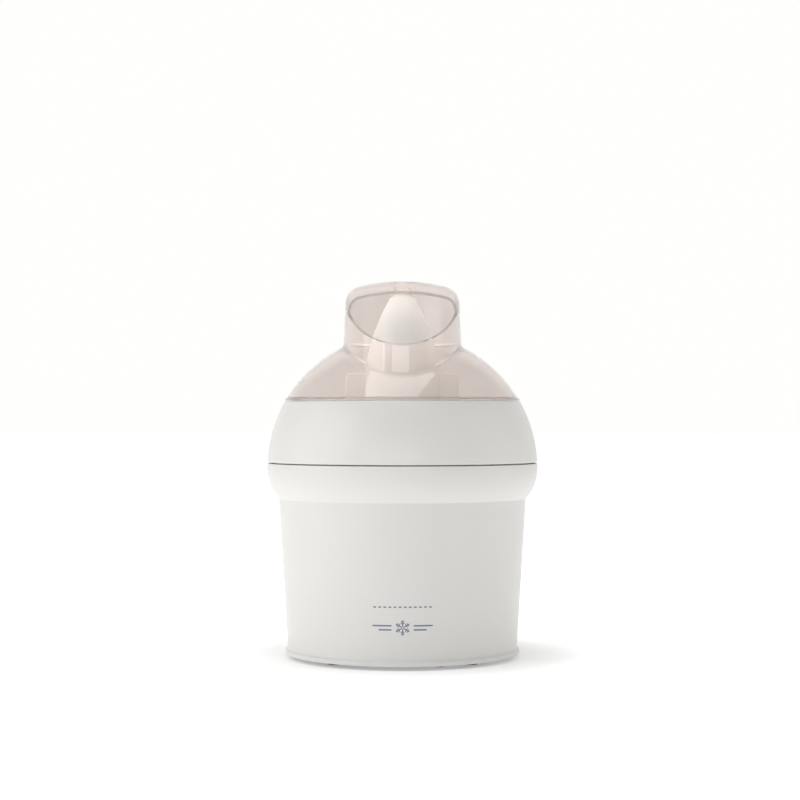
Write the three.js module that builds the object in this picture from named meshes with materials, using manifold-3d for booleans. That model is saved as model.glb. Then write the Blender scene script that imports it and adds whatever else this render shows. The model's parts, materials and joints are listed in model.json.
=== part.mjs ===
// Counter-top ice cream maker with a freezer bowl. The motor in the base turns the bowl.
// The paddle stands still, held by the clear lid.
// Millimetres, +Z up, origin on the table under the bowl's axis, front towards -Y.
import * as THREE from "three";
import { mergeVertices } from "three/addons/utils/BufferGeometryUtils.js";
import Module from "manifold-3d";

const wasm = await Module();
wasm.setup();

// ---- driving dimensions ----
const GAP = 0.3; // clearance between pieces that touch
const WALL = 2.8; // housing and cover ring wall
const ROUND = 32; // facets round a large part
const DISC = 24; // facets round a disc of middling size
const SMALL_ROUND = 12; // facets round a small part

const GLOBE = { r: 104.5, z: 145.5 }; // the ball that the collar, the ring and the clear dome follow
const SEAM = { low: 149.2, high: 150 }; // top edge of the housing, bottom edge of the cover ring
const HOUSING = { foot: 3, lipR: 90.5, lipIn: 86.1, lowR: 88.6, lowZ: 7.4, neckR: 95.4 };
const COLLAR = { r: 74.5, a: 30, b: 32.7 }; // quarter ellipse under the collar, centred at the globe's height

const RING_TOP = 196.6; // seat that the lid's flange rests on
const RING_BORE = 84.5;
const RING_TOP_T = 2.6; // thickness of the ring's flat top
const THIRDS = [90, 210, 330]; // angles of what repeats three times round the axis, in degrees
const QUARTERS = [0, 90, 180, 270];
const SKIRT = { inner: 95.5, outer: 98, low: 138, web: 2.4 }; // the ring's skirt inside the collar
const LUG = { outer: 99.8, high: 141, half: 8 }; // bayonet lugs, half is an angle in degrees
const TAB = { inner: 98.6, low: 141.6, high: 144.6, sunk: 1, stopSunk: 1.4 };
const TAB_ARC = { before: 14, after: 10, stop: 2.5 }; // degrees to each side of the tab's angle

const LID = { flangeR: 91, flangeT: 2.3, plugR: 84, plugLow: 188.9, wall: 2.2 };
const KEY = { reach: 86.4, half: 6, low: 191 }; // tabs that stop the lid turning in the ring
const KEY_SLOT = { inner: 80.5, low: 190, high: 200 };
const COWL = {
  y: -8, back: 51, front: 68, half: 45.6, corner: 8, low: 203,
  taper: 0.045, taperFrom: 238, taperTo: 275, // the wall leans in between these heights
  crest: 291.3, crestY: 15, crownX: 270, crownY: 197, // the roof falls by x*x/crownX and by y*y/crownY
};
const MOUTH = { rimY: -74, rimZ: 238.6, slope: 0.576, visorY: -30.5, clearY: -110, clearZ: 320, clearX: 70 };
const SOCKET = { r: 10.4, low: 279.5, hex: 8, hexHigh: 287 };

const BOWL = {
  lowR: 84.5, topR: 86.5, low: 62.4, shellTop: 180, wall: 2, corner: 8, floorT: 2.6, hubR: 34, hubZ: 72,
};
const LINER = {
  lowR: 70, topR: 72, floor: 80.5, top: 185.4, wall: 1.3, corner: 10, flangeR: 87, flangeT: 1.4,
};
const GEL_TOP = 176;
const SEAL_BORE = 74.2;

const PADDLE = {
  thick: 3, hubR: 28.6, hubLow: 192, hubWall: 2, hubFacets: 20, tip: 279,
  bullet: [[28.6, 222], [27.4, 233], [24.6, 242.5], [20.8, 253], [16.8, 263], [12.2, 272.5]],
  noseR: 8.4, stemR: 8, stemHigh: 232, hexHigh: 285, low: 82.5,
  window: { in: 18, out: 57, low: 97, high: 168, corner: 2.5 },
};
// Right half of the wing's outline, from the bottom up.
const WING = [
  [57.5, 82.5], [65.3, 85.9], [68.5, 93.5], [68.5, 173], [62.5, 180], [44, 190], [44, 214], [39, 219],
];

const DECK = { z: 52, t: 3, r: 88.2, bore: 9, ledge: 2.7, ledgeWidth: 3.4, ledgeSlope: 3, fillet: 6 };
const PLATE = { z: 3, t: 2.5, r: 85.3 };
const CUP = { r: 9, bore: 5.3, high: 15, floor: 0.8 }; // bearing for the spindle's lower end
const VENTS = { x: [-9, 0, 9], half: 2, low: 28, high: 54 };
const SPINDLE = { r: 5, low: 7, high: 61.8 };
const BUSHING = { bore: 5.3, r: 8.7, flangeR: 12, low: 49.6, seat: 55.3, high: 56.6 };
const CLIP = { r: 8, low: 47.2, high: 48.2 };
const TABLE = { r: 32, z: 58.6, t: 3.5, dogAt: 22, dogR: 5, dogHigh: 67, dogGap: 0.4 };

const GEAR = {
  out: { teeth: 38, m: 2, z: 41, t: 5 },
  small: { teeth: 12, m: 2, z: 38.8, t: 7.8 },
  big: { teeth: 28, m: 1.25, z: 34.5, t: 4.5 },
  pinion: { teeth: 10, m: 1.25, z: 34, t: 5.4 },
};
const IDLER_DISTANCE = ((GEAR.out.teeth + GEAR.small.teeth) * GEAR.out.m) / 2;
const MOTOR_DISTANCE = ((GEAR.big.teeth + GEAR.pinion.teeth) * GEAR.big.m) / 2;
const MOTOR_ANGLE = 160; // direction from the idler to the motor, in degrees
const IDLER = new THREE.Vector2(0, -IDLER_DISTANCE);
const MOTOR = IDLER.clone().add(polar(MOTOR_DISTANCE, MOTOR_ANGLE));
const AT_IDLER = IDLER.toArray();
const AT_MOTOR = MOTOR.toArray();
// Gear phases that put a tooth of one wheel in a gap of the next.
const SMALL_TURN = 90;
const BIG_TURN = MOTOR_ANGLE;
const PINION_TURN = MOTOR_ANGLE + 180 + 180 / GEAR.pinion.teeth;

const IDLER_AXLE = { r: 3, low: 30.8, high: 50.6, bossR: 6, bossLow: 47.6, bossTop: 51 };
const ROTOR = { shaftR: 2.5, low: 10.2, high: 39.8, magnetR: 15.4, magnetLow: 13, magnetHigh: 26 };
const WINDING = { r: 26, bore: 17, low: 11, high: 27 };
const CAN = {
  r: 28, low: 9, high: 30.3, wall: 1.2, lidT: 1.5, bearingR: 4, bearingT: 3.4, bearingFloor: 0.8,
};
const MOTOR_SCREWS = { at: 22, angles: [100, 235] };
const GEAR_PLATE = { z: 30.6, t: 1.4, margin: 5.5, shaftHole: 4.5, corners: [[-4, -22], [-40, -12]] };
const PILLARS = [[-58, -38], [-18, -77], [31, -62]]; // under the deck, holding the gear plate
const PILLAR_R = 4.2;
const PILLAR_HOLE = { low: 30, high: 44 };

const SWITCH = { y: 91.4, z: 34.5, w: 26, h: 20, deep: 16, tilt: 10, pivotY: 86.8 };
const SWITCH_PAD = { half: 18, below: 12.5, above: 13.5, t: 6 };
const SWITCH_CAP = { side: 3, end: 2, t: 2 };
const SWITCH_WELL = { half: 10.6, high: 8.4, deep: 11, out: 5 };
const ROCKER = { half: 10.2, axleR: 1.2, axleHalf: 11.8, axleHole: 1.5, holeHalf: 12.2 };
const ROCKER_SECTION = [[-3, -3.5], [3, -6.3], [8, -6.3], [6.4, 0], [8, 6.3], [3, 6.3], [-3, 3.5]];
const TERMINAL = { x: [-6, 6], half: 2.4, long: 8, low: 34, high: 34.8 };
const INLET = { z: 14, bore: 3.6, neck: 5.3, flange: 7.6, inside: 5.6, grip: 3.4, outside: 2.6 };
const FEET = { at: 70, turn: 45, r: 8, soleR: 6.6, pad: 2.7, stemR: 3, high: 5.8 };
const POSTS = { at: 79.5, turn: 20, r: 4.2, low: 6, high: 22, ribHalf: 1.5, ribLow: 8 };
const POST_HOLE = { low: 5, high: 18 };
const DECK_POSTS = { at: 81.5, angles: [30, 150, 270], half: 4, low: 40, holeLow: 41 };
const SCREW = { headR: 3.1, headT: 1.7, faceR: 2, edge: 0.5, shankR: 1.6, facets: 8 };
const SCREW_SLOT = { half: 1.8, t: 0.35, deep: 0.7 };
const SCREW_HOLE = 1.9; // radius of a screw's hole, and of one with room around it
const SCREW_ROOM = 2.1;

// ---- materials ----
const plastic = (color, roughness) => new THREE.MeshStandardMaterial({ color, roughness, metalness: 0 });
const metal = (color, roughness) => new THREE.MeshStandardMaterial({ color, roughness, metalness: 1 });
const WHITE = plastic(0xf0efeb, 0.28);
const PADDLE_WHITE = plastic(0xf3f1ec, 0.4);
const CLEAR = plastic(0xd8c8c0, 0.06);
CLEAR.transparent = true;
CLEAR.opacity = 0.4;
const GREY = plastic(0x8c8f92, 0.5);
const BLACK = plastic(0x1c1c1e, 0.6);
const GEL = plastic(0x9fc6de, 0.3);
const NYLON = plastic(0xe6e2d4, 0.45);
const ALUMINIUM = metal(0xc4c6c8, 0.38);
const STEEL = metal(0xb4b6b9, 0.3);
const BRASS = metal(0xc8a45a, 0.35);
const COPPER = metal(0xb8703c, 0.4);

// ---- small helpers ----
function polar(r, degrees) {
  const a = THREE.MathUtils.degToRad(degrees);
  return new THREE.Vector2(r * Math.cos(a), r * Math.sin(a));
}

// A closed three.js geometry as a manifold-3d solid.
function solid(geometry) {
  const bare = geometry.index ? geometry.toNonIndexed() : geometry.clone();
  bare.deleteAttribute("normal");
  bare.deleteAttribute("uv");
  const merged = mergeVertices(bare, 1e-4);
  const index = merged.index.array;
  const made = [];
  for (let i = 0; i < index.length; i += 3) {
    const [a, b, c] = [index[i], index[i + 1], index[i + 2]];
    if (a !== b && b !== c && c !== a) made.push(a, b, c);
  }
  const vertProperties = new Float32Array(merged.attributes.position.array);
  const build = (triVerts) => new wasm.Manifold(new wasm.Mesh({ numProp: 3, vertProperties, triVerts }));
  const first = build(new Uint32Array(made));
  if (first.volume() > 0) return first;
  for (let i = 0; i < made.length; i += 3) [made[i + 1], made[i + 2]] = [made[i + 2], made[i + 1]];
  return build(new Uint32Array(made));
}

// Points of an ellipse's arc, from one angle to another in degrees.
function arc(r, z, a, b, from, to, steps) {
  return Array.from({ length: steps + 1 }, (_, i) => {
    const t = THREE.MathUtils.degToRad(from + ((to - from) * i) / steps);
    return [r + a * Math.cos(t), z + b * Math.sin(t)];
  });
}

// The globe's outline at an inset, between two heights.
function globe(inset, fromZ, toZ, steps) {
  const r = GLOBE.r - inset;
  const angle = (z) => THREE.MathUtils.radToDeg(Math.asin((z - GLOBE.z) / r));
  return arc(0, GLOBE.z, r, r, angle(fromZ), angle(toZ), steps);
}

const globeR = (inset, z) => Math.sqrt((GLOBE.r - inset) ** 2 - (z - GLOBE.z) ** 2);

// A solid of revolution about Z from [r, z] points of a closed outline.
function turned(points, facets = ROUND) {
  const outline = [...points, points[0]].map(([r, z]) => new THREE.Vector2(r, z));
  return solid(new THREE.LatheGeometry(outline, facets).rotateX(Math.PI / 2));
}

const rod = (r, low, high, facets = SMALL_ROUND) =>
  turned([[0, low], [r, low], [r, high], [0, high]], facets);
const tube = (r, bore, low, high, facets = SMALL_ROUND) =>
  turned([[bore, low], [r, low], [r, high], [bore, high]], facets);
const block = (x, y, z) => {
  const size = [x, y, z].map(([low, high]) => high - low);
  const centre = [x, y, z].map(([low, high]) => (low + high) / 2);
  return solid(new THREE.BoxGeometry(...size).translate(...centre));
};
function extruded(shape, low, high, curveSegments = 8) {
  const settings = { depth: high - low, bevelEnabled: false, curveSegments };
  return solid(new THREE.ExtrudeGeometry(shape, settings).translate(0, 0, low));
}

const shapeOf = (points) => new THREE.Shape(points.map(([x, y]) => new THREE.Vector2(x, y)));
const moved = (s, [x, y]) => s.translate([x, y, 0]);

// Turns a body made about Z so that it lies about an axis along Y at a height.
const alongY = (s, z) => s.rotate([-90, 0, 0]).translate([0, 0, z]);

// A piece of a ring between two angles, in degrees.
function sector(inner, outer, from, to, low, high) {
  const [a, b] = [from, to].map(THREE.MathUtils.degToRad);
  const shape = new THREE.Shape();
  shape.absarc(0, 0, outer, a, b, false);
  shape.absarc(0, 0, inner, b, a, true);
  shape.closePath();
  return extruded(shape, low, high, 4);
}

// Rings of points, each with the same count, joined into a closed body with a fan over each end.
function lofted(rings) {
  const count = rings[0].length;
  const centre = (ring) => ring.reduce((sum, p) => sum.add(p), new THREE.Vector3()).divideScalar(count);
  const triangles = [];
  rings.slice(1).forEach((upper, k) => {
    const lower = rings[k];
    for (let i = 0; i < count; i++) {
      const j = (i + 1) % count;
      triangles.push(lower[i], lower[j], upper[j], lower[i], upper[j], upper[i]);
    }
  });
  const [first, last] = [rings[0], rings[rings.length - 1]];
  for (let i = 0; i < count; i++) {
    const j = (i + 1) % count;
    triangles.push(centre(first), first[j], first[i]);
    triangles.push(centre(last), last[i], last[j]);
  }
  return solid(new THREE.BufferGeometry().setFromPoints(triangles));
}

const root = new THREE.Group();
root.name = "ice_cream_maker";

function add(name, made, material) {
  const data = made.getMesh();
  const geometry = new THREE.BufferGeometry();
  geometry.setAttribute("position", new THREE.BufferAttribute(new Float32Array(data.vertProperties), 3));
  geometry.setIndex(new THREE.BufferAttribute(new Uint32Array(data.triVerts), 1));
  geometry.computeVertexNormals();
  const mesh = new THREE.Mesh(geometry, material);
  mesh.name = name;
  root.add(mesh);
}

// ---- housing: body and lower half of the collar ----
function housingRadius(z) {
  const neckZ = GLOBE.z - COLLAR.b * Math.sqrt(1 - ((HOUSING.neckR - COLLAR.r) / COLLAR.a) ** 2);
  const share = (z - HOUSING.lowZ) / (neckZ - HOUSING.lowZ);
  return HOUSING.lowR + share * (HOUSING.neckR - HOUSING.lowR);
}

function housingShell() {
  const collar = (inset, r, steps) => {
    const [a, b] = [COLLAR.a - inset, COLLAR.b - inset];
    const start = -THREE.MathUtils.radToDeg(Math.acos((r - COLLAR.r) / a));
    return arc(COLLAR.r, GLOBE.z, a, b, start, 0, steps);
  };
  const ledgeLow = DECK.z - GAP - DECK.ledge;
  const inside = (z) => housingRadius(z) - WALL;
  return turned([
    [HOUSING.lipIn, HOUSING.foot],
    [HOUSING.lipR - 0.6, HOUSING.foot],
    [HOUSING.lipR, HOUSING.foot + 1],
    [HOUSING.lipR - 0.2, HOUSING.foot + 2.4],
    [HOUSING.lowR, HOUSING.lowZ],
    ...collar(0, HOUSING.neckR, 5),
    [globeR(0, SEAM.low), SEAM.low],
    [globeR(WALL, SEAM.low), SEAM.low],
    ...collar(WALL, HOUSING.neckR - WALL, 4).reverse(),
    [inside(DECK.z + DECK.fillet), DECK.z + DECK.fillet],
    [inside(DECK.z), DECK.z - GAP],
    [inside(DECK.z) - DECK.ledgeWidth, DECK.z - GAP],
    [inside(DECK.z) - DECK.ledgeWidth, ledgeLow],
    [inside(ledgeLow), ledgeLow - DECK.ledgeSlope],
  ]);
}

// Adds the tabs that hold the ring's lugs down, each with a stop at one end.
function withTabs(made) {
  const outer = (sunk) => globeR(sunk, SKIRT.low + 7);
  for (const at of THIRDS) {
    const [start, end] = [at - TAB_ARC.before, at + TAB_ARC.after];
    made = made
      .add(sector(TAB.inner, outer(TAB.sunk), start, end, TAB.low, TAB.high))
      .add(sector(TAB.inner, outer(TAB.stopSunk), start, start + TAB_ARC.stop, SKIRT.low, TAB.high));
  }
  return made;
}

// Adds posts for the base plate's screws and for the deck's.
function withPosts(made) {
  const { ribHalf, ribLow, turn } = POSTS;
  const rib = block([POSTS.at, HOUSING.lowR - 1.2], [-ribHalf, ribHalf], [ribLow, POSTS.high]);
  const post = moved(rod(POSTS.r, POSTS.low, POSTS.high), [POSTS.at, 0]).add(rib);
  const hole = moved(rod(SCREW_HOLE, POST_HOLE.low, POST_HOLE.high), [POSTS.at, 0]);
  for (const angle of QUARTERS) {
    made = made.add(post.rotate([0, 0, turn + angle])).subtract(hole.rotate([0, 0, turn + angle]));
  }
  const { at, half, low, holeLow } = DECK_POSTS;
  const deckPost = block([at - half, HOUSING.lowR + 1], [-half, half], [low, DECK.z - GAP]);
  const deckHole = moved(rod(SCREW_HOLE, holeLow, DECK.z + 1), [at, 0]);
  for (const angle of DECK_POSTS.angles) {
    made = made.add(deckPost.rotate([0, 0, angle])).subtract(deckHole.rotate([0, 0, angle]));
  }
  return made;
}

function housing() {
  const { y, z } = SWITCH;
  const { half, below, above, t } = SWITCH_PAD;
  const pad = block([-half, half], [y - t, y], [z - below, z + above]);
  const w = SWITCH.w / 2 + GAP;
  const h = SWITCH.h / 2 + GAP;
  const [inside, outside] = [70, 100];
  return withPosts(withTabs(housingShell()))
    .add(pad)
    .subtract(block([-w, w], [inside, outside], [z - h, z + h]))
    .subtract(alongY(rod(INLET.neck + GAP, inside, outside), INLET.z));
}

// ---- cover ring: upper half of the collar, held by a bayonet ----
function coverRing() {
  const under = RING_TOP - RING_TOP_T;
  const webTop = SEAM.high + SKIRT.web;
  let made = turned([
    ...globe(0, SEAM.high, RING_TOP, 6),
    [RING_BORE, RING_TOP],
    [RING_BORE, under],
    ...globe(WALL, webTop, under, 4).reverse(),
    [SKIRT.inner, webTop],
    [SKIRT.inner, SKIRT.low],
    [SKIRT.outer, SKIRT.low],
    [SKIRT.outer, SEAM.high],
  ]);
  for (const at of THIRDS) {
    made = made.add(sector(SKIRT.outer - 1, LUG.outer, at - LUG.half, at + LUG.half, SKIRT.low, LUG.high));
  }
  const half = KEY.half + GAP;
  const slot = block([KEY_SLOT.inner, KEY.reach + 2 * GAP], [-half, half], [KEY_SLOT.low, KEY_SLOT.high]);
  return made.subtract(slot).subtract(slot.rotate([0, 0, 180]));
}

// ---- clear lid: dome, cowl with its pouring mouth, and the paddle's socket ----
function cowl(inset) {
  const facets = 28;
  const corner = COWL.corner - inset;
  const fall = (x, y) => (x * x) / COWL.crownX + (y - COWL.crestY) ** 2 / COWL.crownY;
  const roof = (x, y) => COWL.crest - inset - fall(x, y);
  const plan = (angle, z, shrink) => {
    const lean = 1 - (COWL.taper * (z - COWL.taperFrom)) / COWL.half;
    const cos = Math.cos(angle);
    const reach = (cos > 0 ? COWL.front : COWL.back) * lean - inset - shrink;
    const x = (COWL.half * lean - inset - shrink) * Math.sin(angle);
    return [x, COWL.y - reach * cos];
  };
  const ring = (heightOf, shrink) =>
    Array.from({ length: facets }, (_, i) => {
      const angle = (2 * Math.PI * i) / facets;
      const edge = roof(...plan(angle, COWL.taperTo, corner)) - corner;
      const z = heightOf(edge);
      return new THREE.Vector3(...plan(angle, Math.min(z, COWL.taperTo), shrink), z);
    });
  const wall = [0, 1].map((u) => ring((edge) => COWL.low + u * (edge - COWL.low), 0));
  const bend = [30, 60, 90].map((degrees) => {
    const t = THREE.MathUtils.degToRad(degrees);
    return ring((edge) => edge + corner * Math.sin(t), corner * (1 - Math.cos(t)));
  });
  const roofRings = [0.66, 0.33].map((share) =>
    bend[2].map((p) => {
      const [x, y] = [p.x * share, COWL.y + (p.y - COWL.y) * share];
      return new THREE.Vector3(x, y, roof(x, y));
    }),
  );
  return lofted([...wall, ...bend, ...roofRings]);
}

function clearLid() {
  const flangeLow = RING_TOP + GAP;
  const flangeHigh = flangeLow + LID.flangeT;
  const bore = LID.plugR - LID.wall;
  const outer = turned([
    [0, LID.plugLow],
    [LID.plugR, LID.plugLow],
    [LID.plugR, flangeLow],
    [LID.flangeR, flangeLow],
    [LID.flangeR, flangeHigh],
    ...globe(0, flangeHigh, GLOBE.z + GLOBE.r - 0.01, 6),
    [0, GLOBE.z + GLOBE.r],
  ]);
  const inner = turned([
    [0, LID.plugLow - 2],
    [bore, LID.plugLow - 2],
    [bore, flangeHigh],
    ...globe(LID.wall, flangeHigh, GLOBE.z + GLOBE.r - LID.wall - 0.01, 6),
    [0, GLOBE.z + GLOBE.r - LID.wall],
  ]);
  const rimZ = (y) => MOUTH.rimZ + MOUTH.slope * (y - MOUTH.rimY);
  const { visorY, clearX, clearY, clearZ } = MOUTH;
  const mouth = shapeOf([[clearY, rimZ(clearY)], [visorY, rimZ(visorY)], [visorY, clearZ], [clearY, clearZ]]);
  const cut = extruded(mouth, -clearX, clearX).rotate([90, 0, 90]);
  const key = block([LID.plugR - 1, KEY.reach], [-KEY.half, KEY.half], [KEY.low, flangeLow + 1]);
  const shell = outer.add(cowl(0)).add(key).add(key.rotate([0, 0, 180]));
  const pocket = rod(SOCKET.hex, SOCKET.low - 10, SOCKET.hexHigh, 6);
  const socket = rod(SOCKET.r, SOCKET.low, COWL.crest, 18).intersect(cowl(0)).subtract(pocket);
  return shell.subtract(inner.add(cowl(LID.wall))).add(socket).subtract(cut);
}

// ---- paddle: bullet-shaped hub, stem and a flat wing with a window each side ----
function paddleHub(inset) {
  const { hubR, hubLow, bullet, noseR, tip, hubFacets } = PADDLE;
  const foot = inset ? hubLow - inset : hubLow;
  return turned(
    [[0, foot], [hubR - inset, foot], ...bullet.map(([r, z]) => [r - inset, z]),
      [noseR - inset / 2, tip - 1.5 * inset], [0, tip - 1.5 * inset]],
    hubFacets,
  );
}

// A window with rounded corners between the stem and the wing's edge.
function wingWindow(side) {
  const { low, high, corner, ...w } = PADDLE.window;
  const [a, b] = [side * w.in, side * w.out].sort((p, q) => p - q);
  const hole = new THREE.Path();
  hole.moveTo(a + corner, low).lineTo(b - corner, low);
  hole.quadraticCurveTo(b, low, b, low + corner).lineTo(b, high - corner);
  hole.quadraticCurveTo(b, high, b - corner, high).lineTo(a + corner, high);
  hole.quadraticCurveTo(a, high, a, high - corner).lineTo(a, low + corner);
  hole.quadraticCurveTo(a, low, a + corner, low);
  return hole;
}

function paddle() {
  const wing = shapeOf([...WING, ...WING.map(([x, z]) => [-x, z]).reverse()]);
  wing.holes.push(wingWindow(-1), wingWindow(1));
  const plate = extruded(wing, -PADDLE.thick / 2, PADDLE.thick / 2, 4).rotate([90, 0, 0]);
  const stem = rod(PADDLE.stemR, PADDLE.low, PADDLE.stemHigh, 16);
  const drive = rod(SOCKET.hex - 0.5, PADDLE.tip - 2, PADDLE.hexHigh, 6);
  return paddleHub(0).subtract(paddleHub(PADDLE.hubWall)).add(plate).add(stem).add(drive);
}

// ---- freezer bowl: shell, liner, gel between them and a rim seal ----
function bowlShell() {
  const { lowR, topR, low, shellTop, wall, corner, floorT, hubR, hubZ } = BOWL;
  const chamfer = 0.3 * corner;
  const made = turned([
    [0, low], [lowR - corner, low], [lowR - chamfer, low + chamfer], [lowR, low + corner],
    [topR, shellTop], [topR - wall, shellTop],
    [lowR - wall, low + corner + 0.5], [lowR - corner - 1, low + floorT],
    [hubR, low + floorT], [hubR, hubZ], [0, hubZ],
  ]);
  const socket = rod(TABLE.dogR + TABLE.dogGap, low - 1, TABLE.dogHigh + 2 * GAP);
  return THIRDS.reduce((left, angle) => left.subtract(moved(socket, polar(TABLE.dogAt, angle))), made);
}

function linerInside(inset, topZ) {
  const { lowR, topR, floor, corner } = LINER;
  const slope = (topR - lowR) / (LINER.top - floor);
  return [
    ...arc(lowR - corner, floor + corner, corner + inset, corner + inset, -90, 0, 4),
    [lowR + inset + slope * (topZ - floor - corner), topZ],
  ];
}

function bowlLiner() {
  const { floor, top, wall, flangeR, flangeT } = LINER;
  return turned([
    [0, floor], ...linerInside(0, top), [flangeR, top], [flangeR, top - flangeT],
    ...linerInside(wall, top - flangeT).reverse(), [0, floor - wall],
  ]);
}

function bowlGel() {
  const { lowR, topR, low, shellTop, wall, corner, hubR, hubZ } = BOWL;
  const slope = (topR - lowR) / (shellTop - low - corner);
  const outer = (z) => lowR + slope * (z - low - corner) - wall - GAP;
  return turned([
    [0, hubZ + GAP], [hubR + GAP, hubZ + GAP], [hubR + GAP, low + 3], [lowR - corner - 3, low + 3],
    [outer(low + corner + 1), low + corner + 2], [outer(GEL_TOP), GEL_TOP],
    ...linerInside(LINER.wall + GAP, GEL_TOP).reverse(), [0, LINER.floor - LINER.wall - GAP],
  ]);
}

const bowlSeal = () =>
  tube(BOWL.topR, SEAL_BORE, BOWL.shellTop + GAP, LINER.top - LINER.flangeT - GAP, ROUND);

// ---- drive train ----
function gear({ teeth, m, z, t }, bore, turn = 0) {
  const pitch = (teeth * m) / 2;
  const step = 360 / teeth;
  const points = [];
  for (let k = 0; k < teeth; k++) {
    const at = k * step + turn;
    const flank = [[pitch - 1.25 * m, 0.33], [pitch, 0.225], [pitch + 0.95 * m, 0.095]];
    for (const [r, share] of flank) points.push(polar(r, at - share * step));
    for (const [r, share] of [...flank].reverse()) points.push(polar(r, at + share * step));
  }
  const shape = new THREE.Shape(points);
  shape.holes.push(new THREE.Path().absarc(0, 0, bore, 0, 2 * Math.PI, true));
  return extruded(shape, z, z + t, 8);
}

function turntable() {
  const { r, z, t, dogAt, dogR, dogHigh } = TABLE;
  const dog = rod(dogR, z + 1, dogHigh);
  const plate = tube(r, SPINDLE.r + GAP, z, z + t, DISC);
  return THIRDS.reduce((made, angle) => made.add(moved(dog, polar(dogAt, angle))), plate);
}

const motorScrewSpots = () =>
  MOTOR_SCREWS.angles.map((angle) => MOTOR.clone().add(polar(MOTOR_SCREWS.at, angle)).toArray());

// Takes holes right through thin plates out of a body.
function drilled(made, spots, r) {
  const drill = rod(r, CAN.low, DECK.z - 12);
  return spots.reduce((left, at) => left.subtract(moved(drill, at)), made);
}

// A plate whose outline runs a margin outside its corners.
function gearPlate() {
  const { z, t, margin, shaftHole } = GEAR_PLATE;
  const corners = [...PILLARS, ...GEAR_PLATE.corners].map(([x, y]) => new THREE.Vector2(x, y));
  const centre = corners.reduce((sum, p) => sum.add(p), new THREE.Vector2()).divideScalar(corners.length);
  const outline = corners
    .map((p) => p.clone().sub(centre))
    .sort((p, q) => Math.atan2(p.y, p.x) - Math.atan2(q.y, q.x))
    .map((p) => p.setLength(p.length() + margin).add(centre));
  const plate = extruded(new THREE.Shape(outline), z, z + t);
  const screwed = drilled(drilled(plate, PILLARS, 2), motorScrewSpots(), SCREW_HOLE);
  return drilled(drilled(screwed, [AT_MOTOR], shaftHole), [AT_IDLER], IDLER_AXLE.r + GAP);
}

function motorCover() {
  const disc = tube(CAN.r, ROTOR.shaftR + GAP, CAN.high - CAN.lidT, CAN.high, DISC);
  return drilled(moved(disc, AT_MOTOR), motorScrewSpots(), SCREW_HOLE);
}

function motorCan() {
  const { r, low, high, wall, lidT, bearingR, bearingT, bearingFloor } = CAN;
  const top = high - lidT - GAP;
  const bore = ROTOR.shaftR + GAP;
  const floor = low + bearingFloor;
  const made = turned(
    [[0, low], [r, low], [r, top], [r - wall, top], [r - wall, low + wall], [bearingR, low + wall],
      [bearingR, low + bearingT], [bore, low + bearingT], [bore, floor], [0, floor]],
    DISC,
  );
  return moved(made, AT_MOTOR);
}

function bushing() {
  const { bore, r, flangeR, low, seat, high } = BUSHING;
  return turned([[bore, low], [r, low], [r, seat], [flangeR, seat], [flangeR, high], [bore, high]], 20);
}

function idlerGear() {
  const bore = IDLER_AXLE.r + GAP;
  return moved(gear(GEAR.big, bore, BIG_TURN).add(gear(GEAR.small, bore, SMALL_TURN)), AT_IDLER);
}

// ---- deck and base plate ----
function deck() {
  const { z, t, r, bore } = DECK;
  let made = turned([[bore, z], [r, z], [r, z + t], [bore, z + t]]);
  const pillar = rod(PILLAR_R, GEAR_PLATE.z + GEAR_PLATE.t + GAP, z + 1);
  const hole = rod(SCREW_HOLE, PILLAR_HOLE.low, PILLAR_HOLE.high);
  for (const at of PILLARS) made = made.add(moved(pillar, at)).subtract(moved(hole, at));
  const screwHole = rod(SCREW_ROOM, z - 2, z + t + 3);
  for (const angle of DECK_POSTS.angles) {
    made = made.subtract(moved(screwHole, polar(DECK_POSTS.at, angle)));
  }
  const { bossR, bossLow, bossTop } = IDLER_AXLE;
  const boss = rod(bossR, bossLow, z + 1).subtract(rod(IDLER_AXLE.r + GAP, bossLow - 1, bossTop));
  return made.add(moved(boss, AT_IDLER));
}

function basePlate() {
  const { z, t, r } = PLATE;
  const top = z + t;
  const cup = [[CUP.r, top], [CUP.r, CUP.high], [CUP.bore, CUP.high], [CUP.bore, top + CUP.floor]];
  let made = turned([[0, z], [r, z], [r, top], ...cup, [0, top + CUP.floor]]);
  for (const angle of QUARTERS) {
    made = made
      .subtract(moved(rod(FEET.stemR + GAP, z - 1, top + 1), polar(FEET.at, FEET.turn + angle)))
      .subtract(moved(rod(SCREW_ROOM, z - 1, top + 1), polar(POSTS.at, POSTS.turn + angle)));
  }
  const { half, low, high } = VENTS;
  for (const x of VENTS.x) made = made.subtract(block([x - half, x + half], [low, high], [z - 1, top + 1]));
  return made;
}

// ---- fasteners and feet ----
// A pan-head screw between two heights: head below the shank, or above it when turned over.
function screw(low, high, over = false) {
  const { headR, headT, faceR, edge, shankR, facets } = SCREW;
  const { half, t, deep } = SCREW_SLOT;
  const long = high - low;
  const made = turned(
    [[0, 0], [faceR, 0], [headR, edge], [headR, headT], [shankR, headT], [shankR, long], [0, long]],
    facets,
  ).subtract(block([-half, half], [-t, t], [-1, deep]));
  return over ? made.rotate([180, 0, 0]).translate([0, 0, high]) : made.translate([0, 0, low]);
}

function foot() {
  const { r, soleR, pad, stemR, high } = FEET;
  return turned([[0, 0], [soleR, 0], [r, pad], [stemR, pad], [stemR, high], [0, high]], SMALL_ROUND);
}

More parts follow.
